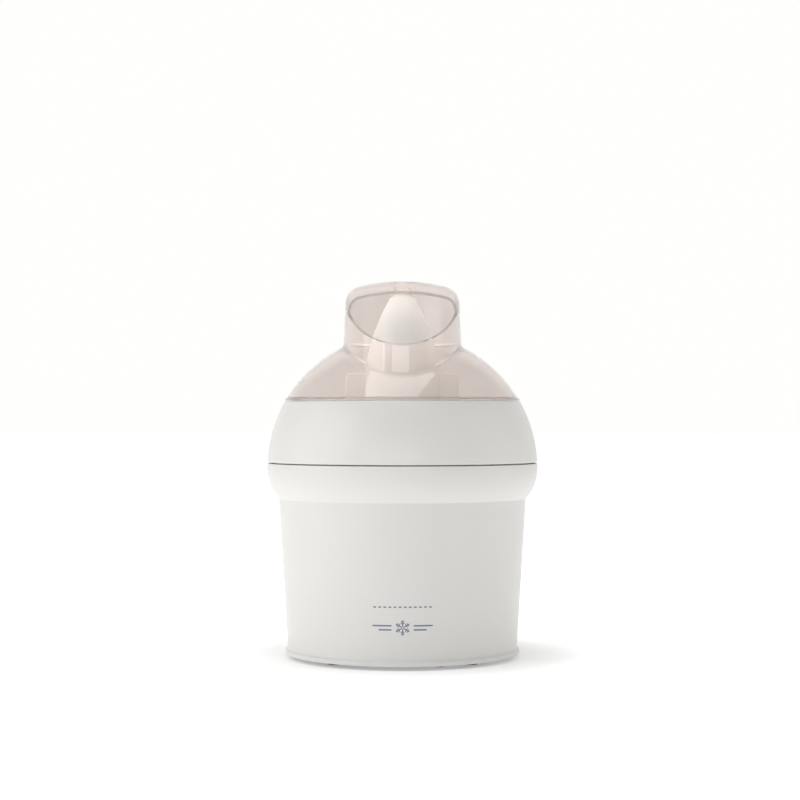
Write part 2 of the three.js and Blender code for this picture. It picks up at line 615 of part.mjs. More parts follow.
// ---- switch and cord inlet ----
function switchBody() {
  const { y, z, w, h, deep } = SWITCH;
  const [halfW, halfH] = [w / 2 + SWITCH_CAP.side, h / 2 + SWITCH_CAP.end];
  const cap = block([-halfW, halfW], [y + GAP, y + SWITCH_CAP.t], [z - halfH, z + halfH]);
  const box = block([-w / 2, w / 2], [y - deep, y + 1], [z - h / 2, z + h / 2]);
  const { half, high, out } = SWITCH_WELL;
  const well = block([-half, half], [y - SWITCH_WELL.deep, y + out], [z - high, z + high]);
  const axle = rod(ROCKER.axleHole, -ROCKER.holeHalf, ROCKER.holeHalf).rotate([0, 90, 0]);
  return cap.add(box).subtract(well).subtract(axle.translate([0, SWITCH.pivotY, z]));
}

function rocker() {
  const { half, axleR, axleHalf } = ROCKER;
  const button = extruded(shapeOf(ROCKER_SECTION), -half, half).rotate([90, 0, 90]);
  const axle = rod(axleR, -axleHalf, axleHalf).rotate([0, 90, 0]);
  return button.add(axle).rotate([-SWITCH.tilt, 0, 0]).translate([0, SWITCH.pivotY, SWITCH.z]);
}

function terminal(x) {
  const { half, long, low, high } = TERMINAL;
  const back = SWITCH.y - SWITCH.deep;
  return block([x - half, x + half], [back - long, back - GAP], [low, high]);
}

function cordInlet() {
  const { bore, neck, flange, inside, grip, outside } = INLET;
  const wallY = housingRadius(INLET.z);
  const [inner, held, outer] = [wallY - inside, wallY - grip, wallY + outside];
  const seat = wallY + 0.4;
  const made = turned(
    [[bore, inner], [flange - 0.8, inner], [flange - 0.8, held], [neck, held],
      [neck, seat], [flange, seat], [flange - 1, outer], [bore, outer]],
    SMALL_ROUND,
  );
  return alongY(made, INLET.z);
}

// ---- assembly ----
add("base_housing", housing(), WHITE);
add("cover_ring", coverRing(), WHITE);
add("clear_lid", clearLid(), CLEAR);
add("paddle", paddle(), PADDLE_WHITE);

add("bowl_shell", bowlShell(), WHITE);
add("bowl_liner", bowlLiner(), ALUMINIUM);
add("coolant_gel", bowlGel(), GEL);
add("bowl_rim_seal", bowlSeal(), GREY);

const aroundSpindle = SPINDLE.r + GAP;
add("turntable", turntable(), GREY);
add("drive_spindle", rod(SPINDLE.r, SPINDLE.low, SPINDLE.high, DISC), STEEL);
add("output_gear", gear(GEAR.out, aroundSpindle), NYLON);
add("retaining_clip", tube(CLIP.r, aroundSpindle, CLIP.low, CLIP.high), STEEL);
add("upper_bushing", bushing(), BRASS);
add("idler_gear", idlerGear(), NYLON);
add("idler_axle", moved(rod(IDLER_AXLE.r, IDLER_AXLE.low, IDLER_AXLE.high), AT_IDLER), STEEL);

const { shaftR, magnetR, magnetLow, magnetHigh } = ROTOR;
add("motor_can", motorCan(), STEEL);
add("motor_cover", motorCover(), STEEL);
add("motor_winding", moved(tube(WINDING.r, WINDING.bore, WINDING.low, WINDING.high, DISC), AT_MOTOR), COPPER);
add("rotor_magnet", moved(tube(magnetR, shaftR + GAP, magnetLow, magnetHigh, DISC), AT_MOTOR), BLACK);
add("rotor_shaft", moved(rod(shaftR, ROTOR.low, ROTOR.high), AT_MOTOR), STEEL);
add("motor_pinion", moved(gear(GEAR.pinion, shaftR + GAP, PINION_TURN), AT_MOTOR), BRASS);
add("gear_plate", gearPlate(), STEEL);

add("drive_deck", deck(), GREY);
add("base_plate", basePlate(), GREY);

QUARTERS.forEach((angle, k) => {
  add(`foot_${k + 1}`, moved(foot(), polar(FEET.at, FEET.turn + angle)), BLACK);
  add(`base_screw_${k + 1}`, moved(screw(1, 16), polar(POSTS.at, POSTS.turn + angle)), STEEL);
});
DECK_POSTS.angles.forEach((angle, k) => {
  add(`deck_screw_${k + 1}`, moved(screw(43, 57, true), polar(DECK_POSTS.at, angle)), STEEL);
});
PILLARS.forEach((at, k) => add(`pillar_screw_${k + 1}`, moved(screw(28.6, 42), at), STEEL));
motorScrewSpots().forEach((at, k) => add(`motor_screw_${k + 1}`, moved(screw(28.2, 34, true), at), STEEL));

add("switch_body", switchBody(), BLACK);
add("switch_rocker", rocker(), WHITE);
TERMINAL.x.forEach((x, k) => add(`switch_terminal_${k + 1}`, terminal(x), BRASS));
add("cord_inlet", cordInlet(), BLACK);

export default root;
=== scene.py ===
import json
import math

import bmesh
import bpy
from mathutils import Matrix, Vector

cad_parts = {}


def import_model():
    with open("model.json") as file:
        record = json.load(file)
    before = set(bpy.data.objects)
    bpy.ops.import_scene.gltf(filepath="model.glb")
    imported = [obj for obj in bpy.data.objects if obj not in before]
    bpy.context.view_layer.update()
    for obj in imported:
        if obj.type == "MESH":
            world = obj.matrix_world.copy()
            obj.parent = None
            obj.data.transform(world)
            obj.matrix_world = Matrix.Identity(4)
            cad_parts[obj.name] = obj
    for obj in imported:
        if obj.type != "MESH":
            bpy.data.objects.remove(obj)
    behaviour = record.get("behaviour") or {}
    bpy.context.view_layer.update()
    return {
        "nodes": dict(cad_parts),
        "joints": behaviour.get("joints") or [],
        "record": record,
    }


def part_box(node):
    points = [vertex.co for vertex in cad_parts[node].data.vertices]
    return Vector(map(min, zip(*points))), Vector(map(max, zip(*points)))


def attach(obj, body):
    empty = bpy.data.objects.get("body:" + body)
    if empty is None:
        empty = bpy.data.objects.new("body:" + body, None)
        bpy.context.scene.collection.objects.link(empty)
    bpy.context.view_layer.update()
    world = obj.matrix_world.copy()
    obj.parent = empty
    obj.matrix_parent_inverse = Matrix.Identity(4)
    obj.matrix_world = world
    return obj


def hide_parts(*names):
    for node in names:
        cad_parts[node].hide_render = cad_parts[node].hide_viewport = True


# A white freezer-bowl ice cream maker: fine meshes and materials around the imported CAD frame.
# Outlines are [r, z], [x, z] or [x, y] points in millimetres, in the frame's own axes; meshes are in metres.
# A third number in an outline's point is the radius of that corner.

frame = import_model()

MM = 0.001
ROUND, MIDDLE_ROUND, SMALL_ROUND, SCREW_ROUND, LID_ROUND = 192, 128, 64, 48, 256  # steps round a part


def corners(node):
    """A CAD node's lowest and highest corners, in millimetres."""
    low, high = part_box(node)
    return low / MM, high / MM


# ---- driving dimensions ----
HOUSING_LOW, HOUSING_HIGH = corners("base_housing")
RING_LOW, RING_HIGH = corners("cover_ring")
LID_LOW, LID_HIGH = corners("clear_lid")
GLOBE_R, GLOBE_Z = HOUSING_HIGH.x, 145.5  # the ball that the collar, the ring and the dome follow
WALL = 2.8
GAP = 0.3
SEAM = 0.8  # the open line between housing and cover ring
SEAM_HIGH = HOUSING_HIGH.z + SEAM
LIP_R, LOW_R, NECK_R, LOW_Z = 90.5, 88.6, 95.4, 7.4  # foot lip, wall above it, wall under the collar
COLLAR_R, COLLAR_A, COLLAR_B = 74.5, 30.0, 32.7  # quarter ellipse under the collar
NECK_Z = GLOBE_Z - COLLAR_B * math.sqrt(1 - ((NECK_R - COLLAR_R) / COLLAR_A) ** 2)
DECK_T = 3
DECK_Z = corners("drive_deck")[1].z - DECK_T
RING_TOP, RING_BORE = RING_HIGH.z, 84.5
SKIRT_IN, SKIRT_OUT = 95.5, 98.0
FLANGE_R, FLANGE_T, PLUG_R, LID_WALL = LID_HIGH.x, 2.3, 84.0, 2.2
THIRDS = (90, 210, 330)  # angles of what repeats three times round the axis


# ---- outlines ----
def arc(r, z, a, b, start, end, steps):
    """Points of an ellipse's arc, from one angle to another in degrees."""
    angles = [math.radians(start + (end - start) * i / steps) for i in range(steps + 1)]
    return [(r + a * math.cos(t), z + b * math.sin(t)) for t in angles]


def globe_r(inset, z):
    """The globe's radius at a height."""
    return math.sqrt((GLOBE_R - inset) ** 2 - (z - GLOBE_Z) ** 2)


def globe(inset, from_z, to_z, steps=24):
    """The globe's outline at an inset, between two heights."""
    r = GLOBE_R - inset
    low, high = (math.degrees(math.asin((z - GLOBE_Z) / r)) for z in (from_z, to_z))
    return arc(0, GLOBE_Z, r, r, low, high, steps)


def collar(inset, r, steps=16):
    """The quarter ellipse under the collar at an inset, from a radius up to the globe's height."""
    a, b = COLLAR_A - inset, COLLAR_B - inset
    start = -math.degrees(math.acos((r - COLLAR_R) / a))
    return arc(COLLAR_R, GLOBE_Z, a, b, start, 0, steps)


def housing_r(z):
    """The housing's outer radius below its collar."""
    return LOW_R + (z - LOW_Z) / (NECK_Z - LOW_Z) * (NECK_R - LOW_R)


SIDE_SHARE = 2.1  # a rounded corner takes less than half of each side beside it


def soften(points, steps=5):
    """Rounds each corner of a closed outline that has a third number, its radius."""
    made = []
    for i, point in enumerate(points):
        here = Vector(point[:2])
        if len(point) == 2 or not point[2]:
            made.append(tuple(here))
            continue
        before = Vector(points[i - 1][:2]) - here
        after = Vector(points[(i + 1) % len(points)][:2]) - here
        half = before.angle(after) / 2
        reach = min(point[2] / math.tan(half), before.length / SIDE_SHARE, after.length / SIDE_SHARE)
        before.normalize()
        after.normalize()
        centre = here + (before + after).normalized() * (reach / math.cos(half))
        start = here + before * reach - centre
        end = here + after * reach - centre
        turn = start.angle_signed(end)
        for k in range(steps + 1):
            made.append(tuple(centre + Matrix.Rotation(-turn * k / steps, 2) @ start))
    return made


def edged(points, first, last):
    """A line of points whose two ends are rounded corners of an outline."""
    return [(*points[0][:2], first), *points[1:-1], (*points[-1][:2], last)]


def polar(r, angle, z=0.0):
    return r * math.cos(math.radians(angle)), r * math.sin(math.radians(angle)), z


def rounded_box(half_w, half_h, r, at=(0, 0)):
    """A rectangle's outline with rounded corners."""
    x, y = at
    signs = ((-1, -1), (1, -1), (1, 1), (-1, 1))
    return soften([(x + a * half_w, y + b * half_h, r) for a, b in signs])


def curve_through(knots, steps=5):
    """A smooth line through points (Catmull-Rom)."""
    padded = [knots[0], *knots, knots[-1]]
    line = []
    for i in range(len(knots) - 1):
        a, b, c, d = (Vector(p) for p in padded[i:i + 4])
        slope, bend, twist = c - a, 2 * a - 5 * b + 4 * c - d, 3 * b - a - 3 * c + d
        for k in range(steps):
            t = k / steps
            line.append(tuple(0.5 * (2 * b + slope * t + bend * t**2 + twist * t**3)))
    return [*line, tuple(knots[-1])]


def without_doubles(points):
    return [p for i, p in enumerate(points) if (Vector(p) - Vector(points[i - 1])).length > 0.01]


# ---- meshes ----
WELD = 0.002  # points closer than this are one


def piece(name, vertices, faces):
    """A new object from points in millimetres, with its faces turned outwards."""
    data = bpy.data.meshes.new(name)
    data.from_pydata([tuple(Vector(v) * MM) for v in vertices], [], faces)
    shell = bmesh.new()
    shell.from_mesh(data)
    bmesh.ops.remove_doubles(shell, verts=shell.verts, dist=WELD * MM)
    bmesh.ops.recalc_face_normals(shell, faces=shell.faces)
    if shell.calc_volume(signed=True) < 0:
        bmesh.ops.reverse_faces(shell, faces=shell.faces)
    shell.to_mesh(data)
    shell.free()
    made = bpy.data.objects.new(name, data)
    bpy.context.scene.collection.objects.link(made)
    return made


def strips(columns, closed=True):
    """Faces between neighbouring columns of points, all of the same length, each a closed loop."""
    count, rows = len(columns), len(columns[0])
    vertices = [p for column in columns for p in column]
    faces = []
    for i in range(count if closed else count - 1):
        j = (i + 1) % count
        for k in range(rows):
            n = (k + 1) % rows
            faces.append((i * rows + k, i * rows + n, j * rows + n, j * rows + k))
    return vertices, faces


def turned(name, outline, steps=ROUND):
    """A solid of revolution about Z from a closed [r, z] outline."""
    columns = []
    for i in range(steps):
        angle = 2 * math.pi * i / steps
        columns.append([(r * math.cos(angle), r * math.sin(angle), z) for r, z in outline])
    return piece(name, *strips(columns))


def loft(name, rings):
    """A closed body through rings of points, with a face over each end."""
    count = len(rings[0])
    vertices = [p for ring in rings for p in ring]
    faces = [tuple(range(count)), tuple(range(len(vertices) - count, len(vertices)))]
    for k in range(len(rings) - 1):
        for i in range(count):
            j = (i + 1) % count
            low, high = k * count, (k + 1) * count
            faces.append((low + i, low + j, high + j, high + i))
    return piece(name, vertices, faces)


def prism(name, shape, low, high, edge=0.0):
    """A closed [x, y] shape pulled up from one height to another, with rounded rims."""
    pairs = [Vector(p) for p in shape]
    rings = []
    for inset, z in rim(low, high, edge):
        rings.append([(p.x, p.y, z) for p in shrunk(pairs, inset)])
    return loft(name, rings)


def rim(low, high, edge, steps=4):
    """Inset and height of each ring of a rim rounded at both ends."""
    if not edge:
        return [(0, low), (0, high)]
    bend = [math.radians(90 * k / steps) for k in range(steps + 1)]
    under = [(edge * (1 - math.sin(t)), low + edge * (1 - math.cos(t))) for t in bend]
    return under + [(inset, high + low - z) for inset, z in reversed(under)]


def shrunk(points, inset):
    """A closed shape with each side moved inwards."""
    if not inset:
        return points
    area = sum(p.cross(q) for p, q in zip(points, points[1:] + points[:1]))
    side = 1 if area > 0 else -1
    made = []
    for i, p in enumerate(points):
        a = (p - points[i - 1]).normalized()
        b = (points[(i + 1) % len(points)] - p).normalized()
        normal = Vector((-a.y - b.y, a.x + b.x)).normalized() * side
        grow = max(0.3, abs(normal.dot(Vector((-a.y, a.x)))))
        made.append(p + normal * inset / grow)
    return made


def block(x, y, z, edge=0.0):
    """A box between three pairs of limits, with rounded rims and corners."""
    outline = [(x[0], y[0]), (x[1], y[0]), (x[1], y[1]), (x[0], y[1])]
    if edge:
        outline = soften([(*p, edge * 1.5) for p in outline])
    return prism("block", outline, z[0], z[1], edge)


def sector(inner, outer, start, end, low, high):
    """A piece of a ring between two angles, in degrees."""
    outline = [tuple(p) for p in arc(0, 0, outer, outer, start, end, 16)]
    outline += [tuple(p) for p in arc(0, 0, inner, inner, end, start, 16)]
    return prism("sector", outline, low, high)


def placed(obj, at=(0, 0, 0), turn=0.0, axis="Z"):
    """Turns an object by degrees about an axis through the origin, then moves it by millimetres."""
    obj.data.transform(Matrix.Translation(Vector(at) * MM) @ Matrix.Rotation(math.radians(turn), 4, axis))
    return obj


def rod(r, low, high, steps=SMALL_ROUND, edge=0.0):
    """A round bar about Z, with rounded rims where edge isn't 0."""
    return turned("rod", soften([(0, low), (r, low, edge), (r, high, edge), (0, high)]), steps)


def along_y(obj, z):
    """Lays a body made about Z along Y at a height."""
    return placed(obj, (0, 0, z), -90, "X")


def along_x(obj):
    """Turns a prism drawn in [y, z] so that it runs along X."""
    obj.data.transform(Matrix(((0, 0, 1, 0), (1, 0, 0, 0), (0, 1, 0, 0), (0, 0, 0, 1))))
    return obj


def facing(obj):
    """Stands a prism drawn in [x, z] up, so that its height runs towards -Y."""
    return placed(obj, turn=90, axis="X")


def gathered(objects):
    """Several objects as one."""
    first, *rest = objects
    shell = bmesh.new()
    for obj in objects:
        shell.from_mesh(obj.data)
    shell.to_mesh(first.data)
    shell.free()
    for obj in rest:
        bpy.data.objects.remove(obj)
    return first


def applied(obj):
    """Makes an object's modifiers part of its mesh."""
    seen = obj.evaluated_get(bpy.context.evaluated_depsgraph_get())
    made = bpy.data.meshes.new_from_object(seen)
    obj.modifiers.clear()
    obj.data = made
    return obj


def combined(obj, operation, tool):
    """Cuts a tool out of an object, or joins it on, and removes the tool."""
    modifier = obj.modifiers.new("combine", "BOOLEAN")
    modifier.operation = operation
    modifier.solver = "EXACT"
    modifier.object = tool
    applied(obj)
    bpy.data.objects.remove(tool)
    return obj


def cut(obj, tool):
    return combined(obj, "DIFFERENCE", tool)


def joined(obj, tool):
    return combined(obj, "UNION", tool)


def bevelled(obj, width, segments=3, angle=40):
    """Rounds every edge sharper than an angle."""
    modifier = obj.modifiers.new("bevel", "BEVEL")
    modifier.width = width * MM
    modifier.segments = segments
    modifier.limit_method = "ANGLE"
    modifier.angle_limit = math.radians(angle)
    modifier.use_clamp_overlap = True
    return applied(obj)


def shaded(obj, angle=30):
    """Smooth faces with crisp edges above an angle."""
    obj.data.polygons.foreach_set("use_smooth", [True] * len(obj.data.polygons))
    obj.data.set_sharp_from_angle(angle=math.radians(angle))
    return obj


def finished(obj, name, body, slot, material, *nodes):
    """Names a piece and gives it its material, smooth shading and body, and hides the CAD nodes that it
    stands for; slot is not used.
    """
    obj.name = obj.data.name = name
    obj.data.materials.clear()
    obj.data.materials.append(material)
    shaded(obj)
    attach(obj, body)
    if nodes:
        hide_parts(*nodes)
    return obj


# ---- material nodes ----
NOISE_LOW, NOISE_HIGH = 0.3, 0.7


class Finish:
    """A Principled material with helpers that add procedural detail to it."""

    def __init__(self, name, colour, roughness, metallic=0.0, **sockets):
        self.material = bpy.data.materials.new(name)
        self.material.use_nodes = True
        self.tree = self.material.node_tree
        self.shader = self.tree.nodes["Principled BSDF"]
        self.colour = colour
        self.place = self.node("ShaderNodeTexCoord").outputs["Object"]
        self.set("Base Color", (*colour, 1))
        self.set("Roughness", roughness)
        self.set("Metallic", metallic)
        for socket, value in sockets.items():
            self.set(socket.replace("_", " "), value)

    def set(self, socket, value):
        self.shader.inputs[socket].default_value = value

    def node(self, kind, **values):
        made = self.tree.nodes.new(kind)
        for name, value in values.items():
            setattr(made, name, value)
        return made

    def link(self, start, end):
        self.tree.links.new(start, end)

    def stretched(self, scale):
        """Object coordinates with a scale for each axis, so that a grain can run one way."""
        mapping = self.node("ShaderNodeMapping")
        mapping.inputs["Scale"].default_value = scale
        self.link(self.place, mapping.inputs["Vector"])
        return mapping.outputs["Vector"]

    def noise(self, scale, detail=3.0, stretch=None):
        """Noise whose grains are about 1 / scale metres across."""
        made = self.node("ShaderNodeTexNoise")
        made.inputs["Scale"].default_value = scale
        made.inputs["Detail"].default_value = detail
        self.link(self.stretched(stretch) if stretch else self.place, made.inputs["Vector"])
        return made.outputs["Fac"]

    def bands(self, scale, direction="Z", kind="BANDS", distortion=0.4):
        """Fine lines left by turning or winding."""
        made = self.node("ShaderNodeTexWave", wave_type=kind)
        made.bands_direction = direction
        made.rings_direction = direction
        made.inputs["Scale"].default_value = scale
        made.inputs["Distortion"].default_value = distortion
        self.link(self.place, made.inputs["Vector"])
        return made.outputs["Fac"]

    def between(self, factor, low, high):
        """Spreads the middle of a factor's range, where noise mostly lies, between two values."""
        made = self.node("ShaderNodeMapRange")
        limits = (("From Min", NOISE_LOW), ("From Max", NOISE_HIGH), ("To Min", low), ("To Max", high))
        for socket, value in limits:
            made.inputs[socket].default_value = value
        self.link(factor, made.inputs["Value"])
        return made.outputs["Result"]

    def rough(self, factor, low, high):
        self.link(self.between(factor, low, high), self.shader.inputs["Roughness"])
        return self

    def tinted(self, factor, other, low=0.0, high=1.0):
        """Mixes the colour with another one by a factor."""
        mix = self.node("ShaderNodeMix", data_type="RGBA")
        colours = [s for s in mix.inputs if s.type == "RGBA"]
        colours[0].default_value = (*self.colour, 1)
        colours[1].default_value = (*other, 1)
        self.link(self.between(factor, low, high), mix.inputs["Factor"])
        self.link([s for s in mix.outputs if s.type == "RGBA"][0], self.shader.inputs["Base Color"])
        return self

    def raised(self, *layers):
        """Bump from (height, depth in millimetres) layers, one over another."""
        last = None
        for height, depth in layers:
            bump = self.node("ShaderNodeBump")
            bump.inputs["Strength"].default_value = 1.0
            bump.inputs["Distance"].default_value = depth * MM
            self.link(height, bump.inputs["Height"])
            if last:
                self.link(last, bump.inputs["Normal"])
            last = bump.outputs["Normal"]
        self.link(last, self.shader.inputs["Normal"])
        return self


def white_plastic():
    """Glossy moulded ABS: faint orange peel, slow changes of gloss, a trace of colour drift."""
    made = Finish("white_plastic", (0.755, 0.745, 0.722), 0.36, Coat_Weight=0.15, Coat_Roughness=0.2, IOR=1.5)
    made.tinted(made.noise(9, 2), (0.735, 0.722, 0.698))
    made.rough(made.noise(55, 4), 0.3, 0.42)
    made.raised((made.noise(420, 2), 0.006), (made.noise(30, 1), 0.03))
    return made.material


def paddle_plastic():
    """Satin polypropylene with a fine moulded grain."""
    made = Finish("paddle_plastic", (0.86, 0.85, 0.83), 0.38, Subsurface_Weight=0.08, Subsurface_Scale=0.002)
    made.tinted(made.noise(25, 3), (0.83, 0.815, 0.785))
    made.rough(made.noise(140, 3), 0.32, 0.46)
    made.raised((made.noise(900, 2), 0.008))
    return made.material


TINT = (0.95, 0.888, 0.855)  # smoky beige
HAZE = 0.16  # share of light that the moulded lid scatters


def clear_plastic():
    """Clear tinted polycarbonate. Lamps shine through it, dimmed by the tint."""
    made = Finish("clear_plastic", TINT, 0.03, Transmission_Weight=1 - HAZE, IOR=1.46)
    made.rough(made.noise(35, 4), 0.015, 0.05)
    made.raised((made.noise(18, 1), 0.05), (made.noise(260, 2), 0.002))
    through = made.node("ShaderNodeBsdfTransparent")
    through.inputs["Color"].default_value = (*(math.sqrt(c) for c in TINT), 1)
    path = made.node("ShaderNodeLightPath")
    mix = made.node("ShaderNodeMixShader")
    made.link(path.outputs["Is Shadow Ray"], mix.inputs[0])
    made.link(made.shader.outputs[0], mix.inputs[1])
    made.link(through.outputs[0], mix.inputs[2])
    made.link(mix.outputs[0], made.tree.nodes["Material Output"].inputs["Surface"])
    return made.material


def aluminium():
    """Spun sheet: fine rings about the axis, a slow change of sheen."""
    made = Finish("aluminium", (0.72, 0.73, 0.74), 0.34, 1.0)
    made.tinted(made.noise(20, 4, (1, 1, 9)), (0.62, 0.63, 0.645))
    made.rough(made.noise(80, 4, (1, 1, 14)), 0.26, 0.44)
    made.raised((made.bands(260, "Z", "RINGS"), 0.012), (made.noise(700, 2), 0.004))
    return made.material


def moulded(name, colour, other, grain=1400.0, depth=0.02, low=0.42, high=0.62):
    """Matt moulded plastic with a spark-eroded grain."""
    made = Finish(name, colour, 0.5)
    made.tinted(made.noise(60, 4), other)
    made.rough(made.noise(300, 3), low, high)
    made.raised((made.noise(grain, 3), depth))
    return made.material


def rubber():
    """Matt rubber with a fine grain and a dusty bloom."""
    made = Finish("rubber", (0.035, 0.035, 0.038), 0.8)
    made.tinted(made.noise(220, 5), (0.065, 0.064, 0.062))
    made.rough(made.noise(500, 3), 0.7, 0.92)
    made.raised((made.noise(1800, 2), 0.02))
    return made.material


def metal(name, colour, other, low, high, lines=500):
    """Machined or plated metal: fine turning lines and a patchy sheen."""
    made = Finish(name, colour, 0.3, 1.0)
    made.tinted(made.noise(180, 4), other)
    made.rough(made.noise(420, 4), low, high)
    made.raised((made.bands(lines), 0.006), (made.noise(1500, 2), 0.004))
    return made.material


def copper():
    """Enamelled wire wound in layers."""
    made = Finish("copper", (0.56, 0.24, 0.1), 0.3, 1.0, Coat_Weight=0.6, Coat_Roughness=0.12)
    made.tinted(made.noise(300, 4), (0.42, 0.16, 0.06))
    made.rough(made.noise(500, 3), 0.24, 0.4)
    made.raised((made.bands(210, "Z", "BANDS", 0.1), 0.25))
    return made.material


def gel():
    """Coolant sealed in the bowl's wall."""
    made = Finish("gel", (0.36, 0.58, 0.74), 0.2, Subsurface_Weight=0.3, Subsurface_Scale=0.004)
    made.tinted(made.noise(40, 5), (0.46, 0.66, 0.8))
    made.rough(made.noise(90, 3), 0.12, 0.3)
    made.raised((made.noise(120, 3), 0.15))
    return made.material


def ink():
    """Slate-blue pad print, a little drier than the plastic under it."""
    made = Finish("ink", (0.16, 0.18, 0.27), 0.42)
    made.tinted(made.noise(700, 4), (0.2, 0.22, 0.31))
    made.rough(made.noise(900, 3), 0.36, 0.52)
    made.raised((made.noise(1600, 2), 0.004))
    return made.material


MATERIALS = {
    "white_plastic": white_plastic(),
    "clear_plastic": clear_plastic(),
    "paddle_plastic": paddle_plastic(),
    "aluminium": aluminium(),
    "gel": gel(),
    "nylon": moulded("nylon", (0.78, 0.74, 0.63), (0.72, 0.67, 0.55), 900, 0.01, 0.34, 0.5),
    "grey_plastic": moulded("grey_plastic", (0.3, 0.31, 0.32), (0.26, 0.27, 0.28)),
    "rubber": rubber(),
    "black_plastic": moulded("black_plastic", (0.022, 0.022, 0.024), (0.036, 0.036, 0.038)),
    "brass": metal("brass", (0.75, 0.55, 0.24), (0.63, 0.44, 0.18), 0.22, 0.38),
    "copper": copper(),
    "steel": metal("steel", (0.58, 0.59, 0.61), (0.5, 0.51, 0.54), 0.24, 0.42),
}
INK = ink()


def dress(obj, name, body, slot, *nodes):
    """Finishes a piece with its slot's own material."""
    return finished(obj, name, body, slot, MATERIALS[slot], *nodes)


# ---- housing ----
def joint_place(name):
    """Where a joint turns, in millimetres."""
    found = next(j for j in frame["joints"] if j["name"] == name)
    return Vector(found["pos_m"]) / MM


ROCKER_AT = joint_place("switch_rock")
SWITCH_Y = ROCKER_AT.y + 4.6  # outer face of the switch's pad
SWITCH_Z = ROCKER_AT.z
SWITCH_HALF_W, SWITCH_HALF_H = 13.0, 10.0
PAD_HALF_W, PAD_HALF_H, PAD_CORNER, PAD_DEPTH, PAD_RISE, PAD_EDGE = 18, 13, 3, 6, 0.5, 0.6
INLET_LOW, INLET_HIGH = corners("cord_inlet")
INLET_Z = (INLET_LOW.z + INLET_HIGH.z) / 2
INLET_NECK = 5.3
THROUGH = (70, 100)  # a cut between these radii goes right through the wall
LEDGE_W, LEDGE_T = 3.4, 3  # the ledge inside that the deck stands on
LIP_W, LIP_T = 4.4, 3
TAB_R, TAB_Z, TAB_TURN = (98.6, 102.6), (141.6, 144.6), (-14, 10)
STOP_R, STOP_TOP, STOP_TURN = (98.6, 102.2), 142, (-14, -11.5)
PILOT_R = 1.9  # the holes that screws bite into
POST_AT, POST_TURN, POST_R, POST_Z, POST_EDGE = 79.5, 20, 4.2, (6, 22), 0.5  # for the base plate's screws
POST_PILOT_Z = (5, 18)
RIB_FROM, RIB_SINK, RIB_HALF, RIB_LOW = 80, 1.4, 1.5, 8  # joins each post to the wall
BOSS_AT, BOSS_TURNS, BOSS_FROM, BOSS_HALF, BOSS_LOW, BOSS_EDGE = 81.5, (30, 150, 270), 77.5, 4, 40, 0.5


def wall_in(z):
    return housing_r(z) - WALL


def housing_outline():
    """The foot lip, the wall and collar, then down inside past the deck's ledge."""
    ledge_low = DECK_Z - LEDGE_T
    ledge_r = wall_in(DECK_Z) - LEDGE_W
    brim = [(globe_r(inset, HOUSING_HIGH.z), HOUSING_HIGH.z) for inset in (0, WALL)]
    return soften([
        (LIP_R - LIP_W, HOUSING_LOW.z, 0.4),
        (LIP_R, HOUSING_LOW.z, 0.9),
        (LIP_R - 0.1, HOUSING_LOW.z + LIP_T, 1.0),
        (LOW_R, LOW_Z, 1.2),
        *edged(collar(0, NECK_R), 1.6, 0),
        *edged(brim, 0.7, 0.5),
        *collar(WALL, NECK_R - WALL)[::-1],
        (wall_in(DECK_Z), DECK_Z - GAP),
        (ledge_r, DECK_Z - GAP, 0.4),
        (ledge_r, ledge_low, 0.4),
        (wall_in(ledge_low), ledge_low - LEDGE_T),
    ])


def bayonet_tabs():
    """Tabs inside the collar that hold the ring's lugs down, each with a stop at one end."""
    tabs = []
    for at in THIRDS:
        tabs.append(sector(*TAB_R, at + TAB_TURN[0], at + TAB_TURN[1], *TAB_Z))
        tabs.append(sector(*STOP_R, at + STOP_TURN[0], at + STOP_TURN[1], RING_LOW.z, STOP_TOP))
    return tabs


def screw_posts():
    """Posts for the base plate's screws and blocks for the deck's, with their holes."""
    posts, holes = [], []
    for k in range(4):
        angle = POST_TURN + 90 * k
        rib = block((RIB_FROM, LOW_R - RIB_SINK), (-RIB_HALF, RIB_HALF), (RIB_LOW, POST_Z[1]))
        posts.append(placed(rod(POST_R, *POST_Z, edge=POST_EDGE), polar(POST_AT, angle)))
        posts.append(placed(rib, turn=angle))
        holes.append(placed(rod(PILOT_R, *POST_PILOT_Z), polar(POST_AT, angle)))
    for angle in BOSS_TURNS:
        boss = block((BOSS_FROM, LOW_R + 0.8), (-BOSS_HALF, BOSS_HALF), (BOSS_LOW, DECK_Z - GAP), BOSS_EDGE)
        posts.append(placed(boss, turn=angle))
        holes.append(placed(rod(PILOT_R, BOSS_LOW + 1, DECK_Z + 1), polar(BOSS_AT, angle)))
    return posts, holes


def switch_window():
    outline = rounded_box(SWITCH_HALF_W + GAP, SWITCH_HALF_H + GAP, 1, (0, SWITCH_Z))
    return facing(prism("window", outline, -THROUGH[1], -THROUGH[0]))


def switch_pad():
    """The flat pad on the back that the switch sits in."""
    outline = rounded_box(PAD_HALF_W, PAD_HALF_H, PAD_CORNER, (0, SWITCH_Z + PAD_RISE))
    return facing(prism("pad", outline, -SWITCH_Y, PAD_DEPTH - SWITCH_Y, PAD_EDGE))


def housing():
    body = turned("housing", housing_outline())
    posts, holes = screw_posts()
    for tool in (switch_pad(), *bayonet_tabs(), *posts):
        joined(body, tool)
    passage = along_y(rod(INLET_NECK + GAP, *THROUGH), INLET_Z)
    for tool in (switch_window(), passage, *holes):
        cut(body, tool)
    dress(body, "housing_shell", "base", "white_plastic", "base_housing")


# ---- cover ring ----
RING_T, WEB_T = 2.6, 2.4
LUG_R, LUG_TURN, LUG_T = 99.8, 8, 3
NOTCH_R, NOTCH_HALF, NOTCH_Z, NOTCH_EDGE = (80, 87), 6.3, (190, 200), 0.6  # for the lid's keys


